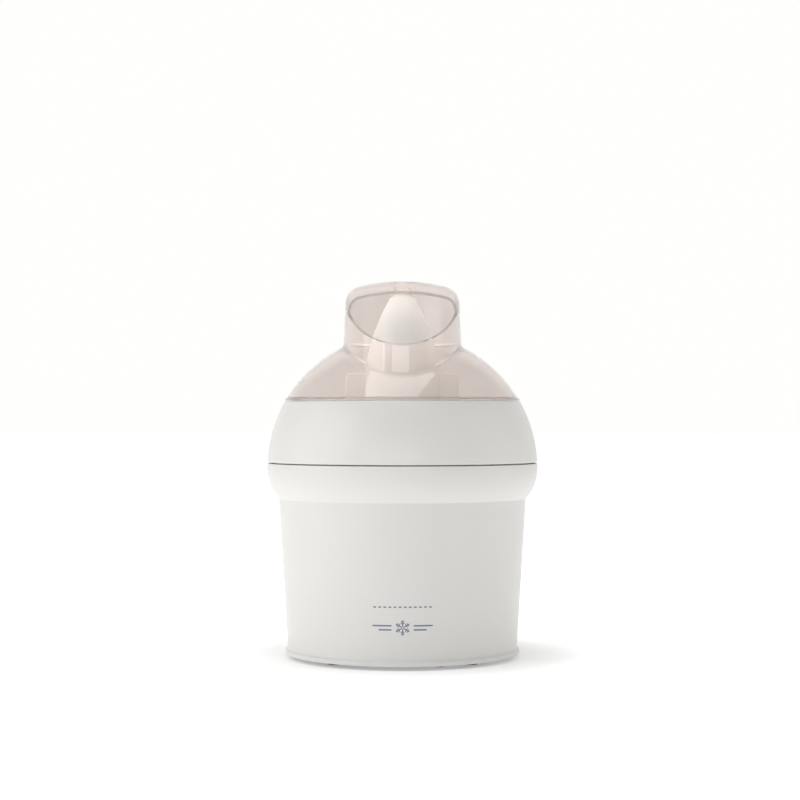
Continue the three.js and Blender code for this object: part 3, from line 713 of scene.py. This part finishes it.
def ring():
    """Upper half of the collar, with the skirt and lugs that lock it inside the lower half."""
    under, web = RING_TOP - RING_T, SEAM_HIGH + WEB_T
    outline = soften([
        *edged(globe(0, SEAM_HIGH, RING_TOP), 0.7, 0.7),
        (RING_BORE, RING_TOP, 0.8),
        (RING_BORE, under, 0.5),
        *globe(WALL, web, under)[::-1],
        (SKIRT_IN, web),
        (SKIRT_IN, RING_LOW.z, 0.4),
        (SKIRT_OUT, RING_LOW.z, 0.4),
        (SKIRT_OUT, SEAM_HIGH),
    ])
    body = turned("ring", outline)
    for at in THIRDS:
        turns = (at - LUG_TURN, at + LUG_TURN)
        joined(body, sector(SKIRT_OUT - 1, LUG_R, *turns, RING_LOW.z, RING_LOW.z + LUG_T))
    for side in (0, 180):
        cut(body, placed(block(NOTCH_R, (-NOTCH_HALF, NOTCH_HALF), NOTCH_Z, NOTCH_EDGE), turn=side))
    dress(body, "cover_ring_shell", "ring", "white_plastic", "cover_ring")


# ---- clear lid ----
COWL_Y, COWL_BACK, COWL_FRONT, COWL_HALF = -8.0, 51.0, 68.0, 45.6  # the cowl in plan
TAPER, TAPER_FROM, TAPER_TO = 0.045, 238.0, 275.0
CREST_Y, CROWN_X, CROWN_Y, CORNER = 15.0, 270.0, 197.0, 8.0  # the roof's crest, curves and rounded corner
MOUTH_Y, MOUTH_Z, MOUTH_SLOPE, VISOR_Y = -74.0, 238.6, 0.576, -30.5
MOUTH_FAR, MOUTH_TOP, MOUTH_HALF = -110, 320, 70  # limits of what is cut away
FILLET_OUT, FILLET_IN = 2.4, 1.2
KEY_R, KEY_HALF, KEY_LOW, KEY_EDGE = (83, 86.4), 6, 191, 0.5
FLANGE_LOW = RING_TOP + GAP
FLANGE_HIGH = FLANGE_LOW + FLANGE_T
SOCKET_R, SOCKET_LOW, HEX_R, SOCKET_STEPS = 10.4, 279.5, 8.0, 60


def cowl_point(angle, z, inset):
    """A point of the cowl's wall in plan. Angle 0 faces the front."""
    lean = 1 - TAPER * (min(z, TAPER_TO) - TAPER_FROM) / COWL_HALF
    reach = (COWL_FRONT if math.cos(angle) > 0 else COWL_BACK) * lean - inset
    return Vector(((COWL_HALF * lean - inset) * math.sin(angle), COWL_Y - reach * math.cos(angle)))


def roof_z(p, inset=0.0):
    return LID_HIGH.z - inset - p.x**2 / CROWN_X - (p.y - CREST_Y) ** 2 / CROWN_Y


def ball_z(r, ball):
    return GLOBE_Z + math.sqrt(ball**2 - r**2)


def cowl_foot(angle, inset, ball, guess):
    """The height at which the cowl's wall meets the dome."""
    foot = guess
    for _ in range(12):
        foot = GLOBE_Z + math.sqrt(ball**2 - cowl_point(angle, foot, inset).length_squared)
    return foot


def roof_line(angle, inset, steps):
    """From the roof's middle out to the cowl's wall, round the corner."""
    corner = CORNER - inset
    centre = Vector((0, COWL_Y))
    shoulder = cowl_point(angle, TAPER_TO, inset + corner)
    line = []
    for k in range(steps):
        p = centre.lerp(shoulder, k / steps)
        line.append((*p, roof_z(p, inset)))
    for k in range(steps // 2 + 1):
        t = math.radians(90 * k / (steps // 2))
        p = cowl_point(angle, TAPER_TO, inset + corner * (1 - math.sin(t)))
        line.append((*p, roof_z(p, inset) - corner * (1 - math.cos(t))))
    return line


def cowl_line(angle, inset, fillet, end_r, steps=14, bend_steps=6):
    """One line down the lid: roof, rounded corner, cowl wall, fillet and dome."""
    ball = GLOBE_R - inset
    line = roof_line(angle, inset, steps)
    top = line[-1][2]
    foot = cowl_foot(angle, inset, ball, top)
    base = cowl_point(angle, foot, inset)
    way, start_r = base.normalized(), base.length + fillet
    for k in range(1, steps + 1):
        z = top + (foot + fillet - top) * k / steps
        line.append((*cowl_point(angle, z, inset), z))
    ends = [Vector(line[-1]), Vector((*base, foot)), Vector((*way * start_r, ball_z(start_r, ball)))]
    for k in range(1, bend_steps + 1):
        t = k / bend_steps
        line.append(tuple(ends[0] * (1 - t) ** 2 + ends[1] * 2 * t * (1 - t) + ends[2] * t**2))
    for k in range(1, steps + 1):
        r = start_r + (end_r - start_r) * k / steps
        line.append((*way * r, ball_z(r, ball)))
    return line, way


def lid_column(angle):
    """The lid's whole section on one side: outside, flange, plug and inside."""
    outside, way = cowl_line(angle, 0, FILLET_OUT, globe_r(0, FLANGE_HIGH))
    inside, inner_way = cowl_line(angle, LID_WALL, FILLET_IN, globe_r(LID_WALL, FLANGE_HIGH))
    bore = PLUG_R - LID_WALL
    rim_points = soften([
        (globe_r(0, FLANGE_HIGH), FLANGE_HIGH),
        (FLANGE_R, FLANGE_HIGH, 0.5),
        (FLANGE_R, FLANGE_LOW, 0.4),
        (PLUG_R, FLANGE_LOW, 0.3),
        (PLUG_R, LID_LOW.z, 0.6),
        (bore, LID_LOW.z, 0.6),
        (bore, FLANGE_HIGH, 0.5),
    ])
    middle = [(*(way.lerp(inner_way, 0.5).normalized() * r), z) for r, z in rim_points[1:]]
    return outside + middle + inside[::-1]


def mouth_z(y):
    return MOUTH_Z + MOUTH_SLOPE * (y - MOUTH_Y)


def mouth():
    """What is cut away in front of the slanted pouring mouth and under the visor."""
    outline = soften([
        (MOUTH_FAR, mouth_z(MOUTH_FAR)),
        (VISOR_Y, mouth_z(VISOR_Y), 3),
        (VISOR_Y, MOUTH_TOP),
        (MOUTH_FAR, MOUTH_TOP),
    ])
    return along_x(prism("mouth", outline, -MOUTH_HALF, MOUTH_HALF))


def lid():
    columns = [lid_column(2 * math.pi * i / LID_ROUND) for i in range(LID_ROUND)]
    body = piece("lid", *strips(columns))
    cut(body, mouth())
    joined(body, lid_socket())
    for side in (0, 180):
        key = block(KEY_R, (-KEY_HALF, KEY_HALF), (KEY_LOW, FLANGE_LOW + 1), KEY_EDGE)
        joined(body, placed(key, turn=side))
    dress(body, "lid_shell", "lid", "clear_plastic", "clear_lid")


def hexagon(angle):
    """The radius at an angle of the socket's six-sided pocket."""
    return HEX_R * math.cos(math.pi / 6) / math.cos(angle % (math.pi / 3) - math.pi / 6)


def lid_socket():
    """Boss under the roof, with the six-sided pocket that keeps the paddle still."""
    columns = []
    for i in range(SOCKET_STEPS):
        angle = 2 * math.pi * i / SOCKET_STEPS
        way = Vector((math.cos(angle), math.sin(angle)))
        pocket, outer = way * hexagon(angle), way * SOCKET_R
        columns.append([
            (*pocket, roof_z(pocket, LID_WALL / 2)),
            (*pocket, SOCKET_LOW),
            (*outer, SOCKET_LOW),
            (*outer, roof_z(outer, LID_WALL / 2)),
        ])
    return piece("socket", *strips(columns))


# ---- paddle ----
PADDLE_LOW, PADDLE_HIGH = corners("paddle")
WING_HALF, WING_TOP, SHOULDER_TOP, TOP_HALF, NECK_TOP = PADDLE_HIGH.x, 219.0, 176.0, 44.0, 190
WING_T, WING_EDGE, WING_CUT = 3.0, 0.9, 11
WINDOW_REACH = 5  # how far the windows' cutters stand out on each side
WINDOW_HALF_W, WINDOW_HALF_H, WINDOW_R, WINDOW_AT = 19.5, 35.5, 2.5, (37.5, 132.5)
HUB_LOW, HUB_TIP, HUB_R, HUB_WALL = 192.0, 279.0, 28.6, 2.0
HUB_KNOTS = [
    (HUB_R, HUB_LOW), (HUB_R, 222), (27.4, 233), (24.6, 242.5), (20.8, 253), (16.8, 263), (12.2, 272.5),
    (8.4, HUB_TIP - 1), (0, HUB_TIP),
]
STEM_R, STEM_TOP, STEM_EDGE = 8, 232, 0.8
KNOB_SINK, KNOB_EDGE = 4, 0.4  # the six-sided end that sits in the lid's socket


def hub_outline(inset=0.0):
    """The bullet-shaped hub from its open foot up to its tip."""
    return [(max(0.0, r - inset), z if r > inset else z - inset) for r, z in curve_through(HUB_KNOTS)]


def wing():
    """The paddle's flat wing, with a rounded window on each side of the stem."""
    right = soften([
        (0, PADDLE_LOW.z),
        (WING_HALF - WING_CUT, PADDLE_LOW.z, 9),
        (WING_HALF, PADDLE_LOW.z + WING_CUT, 9),
        (WING_HALF, SHOULDER_TOP - 3, 5),
        (WING_HALF - 6, SHOULDER_TOP + 4, 5),
        (TOP_HALF, NECK_TOP, 5),
        (TOP_HALF, WING_TOP, 4),
        (0, WING_TOP),
    ])
    outline = right + [(-x, z) for x, z in right[::-1]]
    plate = facing(prism("wing", without_doubles(outline), -WING_T / 2, WING_T / 2))
    x, z = WINDOW_AT
    for side in (-1, 1):
        window = rounded_box(WINDOW_HALF_W, WINDOW_HALF_H, WINDOW_R, (side * x, z))
        cut(plate, facing(prism("window", window, -WINDOW_REACH, WINDOW_REACH)))
    return bevelled(plate, WING_EDGE)


def paddle():
    body = turned("hub", [(0, HUB_LOW), *hub_outline()], MIDDLE_ROUND)
    below = HUB_LOW - 2
    hollow = [(0, below), (HUB_R - HUB_WALL, below), *hub_outline(HUB_WALL)[1:]]
    cut(body, turned("hollow", hollow, MIDDLE_ROUND))
    joined(body, wing())
    joined(body, rod(STEM_R, PADDLE_LOW.z, STEM_TOP, edge=STEM_EDGE))
    joined(body, bevelled(rod(HEX_R - 0.5, HUB_TIP - KNOB_SINK, PADDLE_HIGH.z, 6), KNOB_EDGE))
    dress(body, "paddle_body", "lid", "paddle_plastic", "paddle")


# ---- freezer bowl ----
SHELL_LOW, SHELL_HIGH = corners("bowl_shell")
LINER_LOW, LINER_HIGH = corners("bowl_liner")
SHELL_R, SHELL_LOW_R, SHELL_WALL = SHELL_HIGH.x, SHELL_HIGH.x - 2, 2.0
SHELL_FLOOR, HUB_OUT, HUB_TOP = 2.6, 34.0, 72.0
LINER_IN, LINER_LOW_R, LINER_WALL, LINER_CORNER = 72.0, 70.0, 1.3, 10.0
LINER_FLOOR = LINER_LOW.z + LINER_WALL
LINER_FLANGE_T, SEAL_W = 1.4, 2.2
DOG_AT, DOG_R, DOG_TOP, DOG_GAP = 22.0, 5.0, 67.6, 0.4  # the turntable's dogs and their pockets


def liner_side(inset, top):
    """The liner's wall at an inset, from the floor's edge round the corner and up to a height."""
    slope = (LINER_IN - LINER_LOW_R) / (LINER_HIGH.z - LINER_FLOOR)
    r = LINER_CORNER + inset
    bend = arc(LINER_LOW_R - LINER_CORNER, LINER_FLOOR + LINER_CORNER, r, r, -90, 0, 10)
    return [*bend, (LINER_LOW_R + inset + slope * (top - LINER_FLOOR - LINER_CORNER), top)]


def bowl_liner():
    under = LINER_HIGH.z - LINER_FLANGE_T
    outline = soften([
        (0, LINER_FLOOR),
        *edged(liner_side(0, LINER_HIGH.z), 0, 1.2),
        (LINER_HIGH.x, LINER_HIGH.z, 0.6),
        (LINER_HIGH.x, under, 0.6),
        *liner_side(LINER_WALL, under)[::-1],
        (0, LINER_FLOOR - LINER_WALL),
    ])
    dress(turned("liner", outline), "bowl_liner_spun", "drive", "aluminium", "bowl_liner")


def bowl_seal():
    low, high = corners("bowl_rim_seal")
    r = LINER_IN + SEAL_W
    outline = soften([(r, low.z, 0.5), (SHELL_R, low.z, 0.9), (SHELL_R, high.z, 0.9), (r, high.z, 0.5)])
    dress(turned("seal", outline), "bowl_rim_seal_ring", "drive", "grey_plastic", "bowl_rim_seal")


def bowl_shell():
    """The bowl's outside, with a raised middle that has a pocket for each dog."""
    low, top, floor_z = SHELL_LOW.z, SHELL_HIGH.z, SHELL_LOW.z + SHELL_FLOOR
    outline = soften([
        (0, low),
        (SHELL_LOW_R - 8, low, 1),
        (SHELL_LOW_R, low + 8, 8),
        (SHELL_R, top, 0.6),
        (SHELL_R - SHELL_WALL, top, 0.6),
        (SHELL_LOW_R - SHELL_WALL, low + 8.5, 6),
        (SHELL_LOW_R - 9, floor_z, 2),
        (HUB_OUT, floor_z, 0.8),
        (HUB_OUT, HUB_TOP, 1.5),
        (0, HUB_TOP),
    ])
    shell = turned("shell", outline)
    for angle in THIRDS:
        cut(shell, placed(rod(DOG_R + DOG_GAP, low - 1, DOG_TOP), polar(DOG_AT, angle)))
    dress(shell, "bowl_shell_moulding", "drive", "white_plastic", "bowl_shell")


# ---- underside ----
FOOT_AT, FOOT_TURN, FOOT_HOLE_R = 70, 45, 3.3
FOOT_HOLLOW, FOOT_BRIM, FOOT_STEM_R = 0.35, 2.7, 3
PLATE_T, PLATE_STEP, PLATE_HOLE_R = 2.5, 0.8, 2.1
PLATE_BOSS_R, PLATE_BOSS_BORE = 9, 5.3
VENT_HALF_W, VENT_HALF_L, VENT_CORNER, VENT_PITCH, VENT_Y = 2, 13, 1.9, 9, 41
PLATE_CUT = (2, 8)  # a cut between these heights goes right through the plate
HEAD_R, HEAD_T, SHANK_R, SCREW_POINT = 3.1, 1.7, 1.6, 0.6
RECESS_HALF_L, RECESS_HALF_W, RECESS_DEPTH = 1.7, 0.32, 0.9


def centre_of(low, high, z):
    return (low.x + high.x) / 2, (low.y + high.y) / 2, z


def foot(number):
    """A round rubber foot with a shallow hollow underneath and a stem that plugs into the plate."""
    low, high = corners(f"foot_{number}")
    r = (high.x - low.x) / 2
    outline = soften([
        (0, FOOT_HOLLOW),
        (r - 3.4, FOOT_HOLLOW),
        (r - 2.6, low.z),
        (r - 1.2, low.z, 0.6),
        (r - 0.2, FOOT_BRIM, 0.5),
        (FOOT_STEM_R, FOOT_BRIM),
        (FOOT_STEM_R, high.z, 0.8),
        (0, high.z),
    ])
    body = placed(turned("foot", outline, SMALL_ROUND), centre_of(low, high, 0))
    dress(body, f"rubber_foot_{number}", "base", "rubber", f"foot_{number}")


def base_plate():
    low, high = corners("base_plate")
    top, step = low.z + PLATE_T, low.z + PLATE_STEP
    outline = soften([
        (0, low.z),
        (high.x - 5, low.z, 0.6),
        (high.x - 4.2, step, 0.3),
        (high.x, step, 0.4),
        (high.x, top, 0.4),
        (PLATE_BOSS_R, top),
        (PLATE_BOSS_R, high.z, 0.6),
        (PLATE_BOSS_BORE, high.z, 0.4),
        (PLATE_BOSS_BORE, top + PLATE_STEP),
        (0, top + PLATE_STEP),
    ])
    plate = turned("plate", outline)
    for k in range(4):
        cut(plate, placed(rod(FOOT_HOLE_R, *PLATE_CUT), polar(FOOT_AT, FOOT_TURN + 90 * k)))
        cut(plate, placed(rod(PLATE_HOLE_R, *PLATE_CUT), polar(POST_AT, POST_TURN + 90 * k)))
    for x in (-VENT_PITCH, 0, VENT_PITCH):
        cut(plate, prism("vent", rounded_box(VENT_HALF_W, VENT_HALF_L, VENT_CORNER, (x, VENT_Y)), *PLATE_CUT))
    dress(plate, "base_plate_moulding", "base", "grey_plastic", "base_plate")


def base_screw(number):
    """A pan-head screw, head down, with a cross recess."""
    node = f"base_screw_{number}"
    low, high = corners(node)
    length = high.z - low.z
    outline = soften([
        (0, 0),
        (2.2, 0, 0.8),
        (HEAD_R, 1.0, 0.5),
        (HEAD_R, HEAD_T, 0.2),
        (SHANK_R, HEAD_T),
        (SHANK_R, length - 1),
        (SCREW_POINT, length),
        (0, length),
    ])
    body = turned("screw", outline, SCREW_ROUND)
    for turn in (0, 90):
        x, y = (-RECESS_HALF_L, RECESS_HALF_L), (-RECESS_HALF_W, RECESS_HALF_W)
        cut(body, placed(block(x, y, (-1, RECESS_DEPTH), 0.1), turn=turn))
    placed(body, centre_of(low, high, low.z))
    dress(body, f"{node}_turned", "base", "steel", node)


# ---- switch and cord inlet ----
WELL_HALF_W, WELL_HALF_H, WELL_R, WELL_DEPTH, WELL_OUT = 10.6, 8.4, 0.8, 11, 5
CAP_R, CAP_EDGE, CASE_R, CASE_EDGE, CASE_SINK = 2.5, 0.5, 1.2, 0.4, 1
PIVOT_BORE, PIVOT_BORE_HALF, PIVOT_R, PIVOT_HALF, PIVOT_EDGE = 1.5, 12.2, 1.2, 11.8, 0.2
ROCKER_HALF_W, ROCKER_EDGE, ROCKER_TILT = 10.2, 0.5, -10
FACE_Y, FACE_R, FACE_TURN = 19.2, 12.8, (209.5, 150.5)  # the rocker's hollow face
INLET_BORE, INLET_IN, INLET_GRIP, INLET_OUT, INLET_PROUD = 3.6, 5.6, 3.4, 0.4, 2.6


def switch_frame():
    """The cap and case round the rocker."""
    low, high = corners("switch_body")
    half_w, half_h = (high.x - low.x) / 2, (high.z - low.z) / 2
    outline = rounded_box(half_w, half_h, CAP_R, (0, SWITCH_Z))
    frame_body = facing(prism("cap", outline, -high.y, -(SWITCH_Y + GAP), CAP_EDGE))
    outline = rounded_box(SWITCH_HALF_W, SWITCH_HALF_H, CASE_R, (0, SWITCH_Z))
    joined(frame_body, facing(prism("case", outline, -(SWITCH_Y + CASE_SINK), -low.y, CASE_EDGE)))
    outline = rounded_box(WELL_HALF_W, WELL_HALF_H, WELL_R, (0, SWITCH_Z))
    cut(frame_body, facing(prism("well", outline, -(SWITCH_Y + WELL_OUT), -(SWITCH_Y - WELL_DEPTH))))
    bore = placed(rod(PIVOT_BORE, -PIVOT_BORE_HALF, PIVOT_BORE_HALF), turn=90, axis="Y")
    cut(frame_body, placed(bore, ROCKER_AT))
    dress(frame_body, "switch_frame", "base", "black_plastic", "switch_body")


def rocker():
    """A hollow-faced rocker on its pivot, drawn in [y, z] about the pivot and then tipped."""
    face = arc(FACE_Y, 0, FACE_R, FACE_R, *FACE_TURN, 14)
    outline = soften([(-3, -3.5, 1), (3, -6.3, 1.5), *edged(face, 0.6, 0.6), (3, 6.3, 1.5), (-3, 3.5, 1)])
    body = along_x(prism("rocker", without_doubles(outline), -ROCKER_HALF_W, ROCKER_HALF_W, ROCKER_EDGE))
    joined(body, placed(rod(PIVOT_R, -PIVOT_HALF, PIVOT_HALF, edge=PIVOT_EDGE), turn=90, axis="Y"))
    placed(body, ROCKER_AT, ROCKER_TILT, "X")
    dress(body, "rocker_button", "rocker", "white_plastic", "switch_rocker")


def inlet():
    """The grommet that the mains cord would pass through."""
    wall, flange = housing_r(INLET_Z), (INLET_HIGH.x - INLET_LOW.x) / 2
    outline = soften([
        (INLET_BORE, wall - INLET_IN, 0.5),
        (flange - 0.8, wall - INLET_IN, 0.5),
        (flange - 0.8, wall - INLET_GRIP, 0.3),
        (INLET_NECK, wall - INLET_GRIP),
        (INLET_NECK, wall + INLET_OUT),
        (flange, wall + INLET_OUT, 0.4),
        (flange - 0.6, wall + INLET_PROUD, 1.2),
        (INLET_BORE, wall + INLET_PROUD, 0.8),
    ])
    body = along_y(turned("inlet", outline, SMALL_ROUND), INLET_Z)
    dress(body, "cord_grommet", "base", "black_plastic", "cord_inlet")


# ---- print on the front: a row of dashes, and a snow crystal between soft strokes ----
PRINT_Z, DASHES_Z = 31.5, 46.6
PRINT_LIFT, PRINT_SINK = 0.08, 0.1
STROKE_STEP, STROKE_ENDS = 0.6, 5  # length of a stroke's pieces, and pieces in a round end
ARM, ARM_W, TWIGS, TWIG_W, TWIG_LEAN = (0.9, 5.4), 0.75, ((2.6, 1.5), (4.0, 1.2)), 0.6, 58
BARS, BAR_W = ((1.5, 8.5, 21.5), (-1.5, 8.5, 17.0)), 1.1  # height, near end and far end of each
DASHES, DASH_PITCH, DASH_HALF, DASH_W = 12, 3.7, 0.6, 1.0


def on_front(p, lift):
    """Where a point [x, z] of the print lies on the housing's front."""
    r = housing_r(p.y) + lift
    return (p.x, -math.sqrt(r * r - p.x * p.x), p.y)


def stroke(start, end, width):
    """A thin bar with round ends, bent round the housing's front, from [x, z] to [x, z]."""
    a, b = Vector(start), Vector(end)
    way = (b - a).normalized()
    side = Vector((-way.y, way.x)) * width / 2
    steps = max(6, int((b - a).length / STROKE_STEP))
    bends = [math.radians(90 * k / STROKE_ENDS) for k in range(STROKE_ENDS)]
    line = [(a - way * width / 2 * math.cos(t), math.sin(t)) for t in bends]
    line += [(a.lerp(b, k / steps), 1.0) for k in range(steps + 1)]
    line += [(b + way * width / 2 * math.cos(t), math.sin(t)) for t in reversed(bends)]
    columns = []
    for p, share in line:
        reach = side * max(share, 0.02)
        left, right = p + reach, p - reach
        face = [on_front(left, PRINT_LIFT), on_front(right, PRINT_LIFT)]
        columns.append([*face, on_front(right, -PRINT_SINK), on_front(left, -PRINT_SINK)])
    vertices, faces = strips(columns, closed=False)
    last = len(vertices)
    faces += [(0, 1, 2, 3), (last - 4, last - 3, last - 2, last - 1)]
    return piece("stroke", vertices, faces)


def crystal():
    """Six arms, each with two pairs of twigs."""
    strokes = []
    centre = Vector((0, PRINT_Z))
    for k in range(6):
        way = Vector((math.sin(math.radians(60 * k)), math.cos(math.radians(60 * k))))
        strokes.append(stroke(centre + way * ARM[0], centre + way * ARM[1], ARM_W))
        for reach, length in TWIGS:
            for lean in (-TWIG_LEAN, TWIG_LEAN):
                twig = way.copy()
                twig.rotate(Matrix.Rotation(math.radians(lean), 2))
                base = centre + way * reach
                strokes.append(stroke(base, base + twig * length, TWIG_W))
    return strokes


def front_print():
    strokes = crystal()
    for side in (-1, 1):
        for z, near, far in BARS:
            strokes.append(stroke((side * near, PRINT_Z + z), (side * far, PRINT_Z + z), BAR_W))
    for k in range(DASHES):
        x = (k - (DASHES - 1) / 2) * DASH_PITCH
        strokes.append(stroke((x - DASH_HALF, DASHES_Z), (x + DASH_HALF, DASHES_Z), DASH_W))
    finished(gathered(strokes), "front_print", "base", None, INK)


# ---- CAD nodes that show as they are ----
def dress_cad_nodes():
    slots = {row["node"]: row["material_slot"] for row in frame["record"]["subparts"]}
    for node, obj in frame["nodes"].items():
        obj.data.materials.clear()
        obj.data.materials.append(MATERIALS[slots[node]])


# ---- stage, light and camera ----
ROOM_COLOUR = (1, 0.995, 0.985, 1)
ROOM_LIGHT, THROUGH_LID = 0.3, 0.66  # strengths of the white room
FLOOR_HALF, FLOOR_COLOUR = 20, (0.9, 0.9, 0.9)
GLOW_FROM, GLOW_TO, SHADED_GLOW_NEAR, GLOW_FAR = 0.09, 0.2, 0.27, 0.63  # distances in metres, then strengths of the floor's glow: dim near the object, a painted shade round its foot, and bright away from it, a painted light
LAMPS = (  # name, place, aim, size and power
    ("key", (-1.7, -0.35, 0.8), (0, 0, 0.15), (1.6, 1.6), 9.0),
    ("window", (-1.2, -1.0, 0.8), (0, 0, 0.24), (0.16, 1.1), 1.6),
    ("top", (-0.1, -0.3, 1.7), (0, 0, 0.2), (1.1, 1.1), 8),
    ("fill", (1.7, -0.1, 0.6), (0, 0, 0.15), (1.2, 1.6), 3),
    ("front", (-0.2, -2.1, 0.62), (0, 0, 0.25), (1.8, 0.4), 4.5),
)
GLOSS_ONLY = ("front",)  # lamps that only show in gloss
CAMERA_AT, CAMERA_TILT, CAMERA_LENS, SENSOR = (-0.0019, -1.436, 0.184), 90.56, 83.25, 36


def softbox(name, place, at, size, power):
    data = bpy.data.lights.new(name, "AREA")
    data.shape = "RECTANGLE"
    data.size, data.size_y = size
    data.energy = power
    lamp = bpy.data.objects.new(name, data)
    bpy.context.scene.collection.objects.link(lamp)
    lamp.location = place
    lamp.rotation_euler = (Vector(at) - lamp.location).to_track_quat("-Z", "Y").to_euler()
    lamp.visible_diffuse = name not in GLOSS_ONLY


def floor():
    """A pale floor that glows, a painted light that melts into the white room away from the object and also
    brightens the housing's lower part; near the object the glow is dimmed, a painted shade round its foot.
    """
    data = bpy.data.meshes.new("floor")
    far = FLOOR_HALF
    data.from_pydata([(-far, -far, 0), (far, -far, 0), (far, far, 0), (-far, far, 0)], [], [(0, 1, 2, 3)])
    plane = bpy.data.objects.new("floor", data)
    bpy.context.scene.collection.objects.link(plane)
    paint = Finish("floor", FLOOR_COLOUR, 0.6, Emission_Color=(1, 1, 1, 1))
    away = paint.node("ShaderNodeVectorMath", operation="LENGTH")
    paint.link(paint.place, away.inputs[0])
    # the floor's emission is lower near the object, a painted shade round its foot, and higher away from it,
    # a painted light
    glow_shaded_near_object = paint.node("ShaderNodeMapRange", interpolation_type="SMOOTHSTEP")
    limits = (("From Min", GLOW_FROM), ("From Max", GLOW_TO), ("To Min", SHADED_GLOW_NEAR), ("To Max", GLOW_FAR))
    for socket, value in limits:
        glow_shaded_near_object.inputs[socket].default_value = value
    paint.link(away.outputs["Value"], glow_shaded_near_object.inputs["Value"])
    paint.link(glow_shaded_near_object.outputs["Result"], paint.shader.inputs["Emission Strength"])
    plane.data.materials.append(paint.material)


def world():
    """A white room that lights matt surfaces more gently than it shows in the clear lid and in gloss."""
    made = bpy.data.worlds.new("room")
    made.use_nodes = True
    tree = made.node_tree

    def maths(operation, *values):
        node = tree.nodes.new("ShaderNodeMath")
        node.operation = operation
        for socket, value in zip(node.inputs, values):
            if isinstance(value, float):
                socket.default_value = value
            else:
                tree.links.new(value, socket)
        return node.outputs[0]

    ray = tree.nodes.new("ShaderNodeLightPath").outputs
    through = maths("MULTIPLY_ADD", ray["Is Transmission Ray"], THROUGH_LID - ROOM_LIGHT, ROOM_LIGHT)
    mirrored = maths("SUBTRACT", ray["Is Glossy Ray"], ray["Is Transmission Ray"])
    strength = maths("MAXIMUM", maths("MAXIMUM", through, mirrored), ray["Is Camera Ray"])
    background = tree.nodes["Background"]
    background.inputs["Color"].default_value = ROOM_COLOUR
    tree.links.new(strength, background.inputs["Strength"])
    bpy.context.scene.world = made


def camera():
    data = bpy.data.cameras.new("camera")
    data.lens = CAMERA_LENS
    data.sensor_width = SENSOR
    made = bpy.data.objects.new("camera", data)
    made.location = CAMERA_AT
    made.rotation_euler = (math.radians(CAMERA_TILT), 0, 0)
    bpy.context.scene.collection.objects.link(made)
    bpy.context.scene.camera = made


def stage():
    floor()
    world()
    for lamp in LAMPS:
        softbox(*lamp)
    camera()
    bpy.context.scene.view_settings.view_transform = "Standard"


dress_cad_nodes()
for build in (housing, ring, lid, paddle, bowl_liner, bowl_seal, bowl_shell):
    build()
for number in range(1, 5):
    foot(number)
base_plate()
for number in range(1, 5):
    base_screw(number)
for build in (switch_frame, rocker, inlet, front_print, stage):
    build()
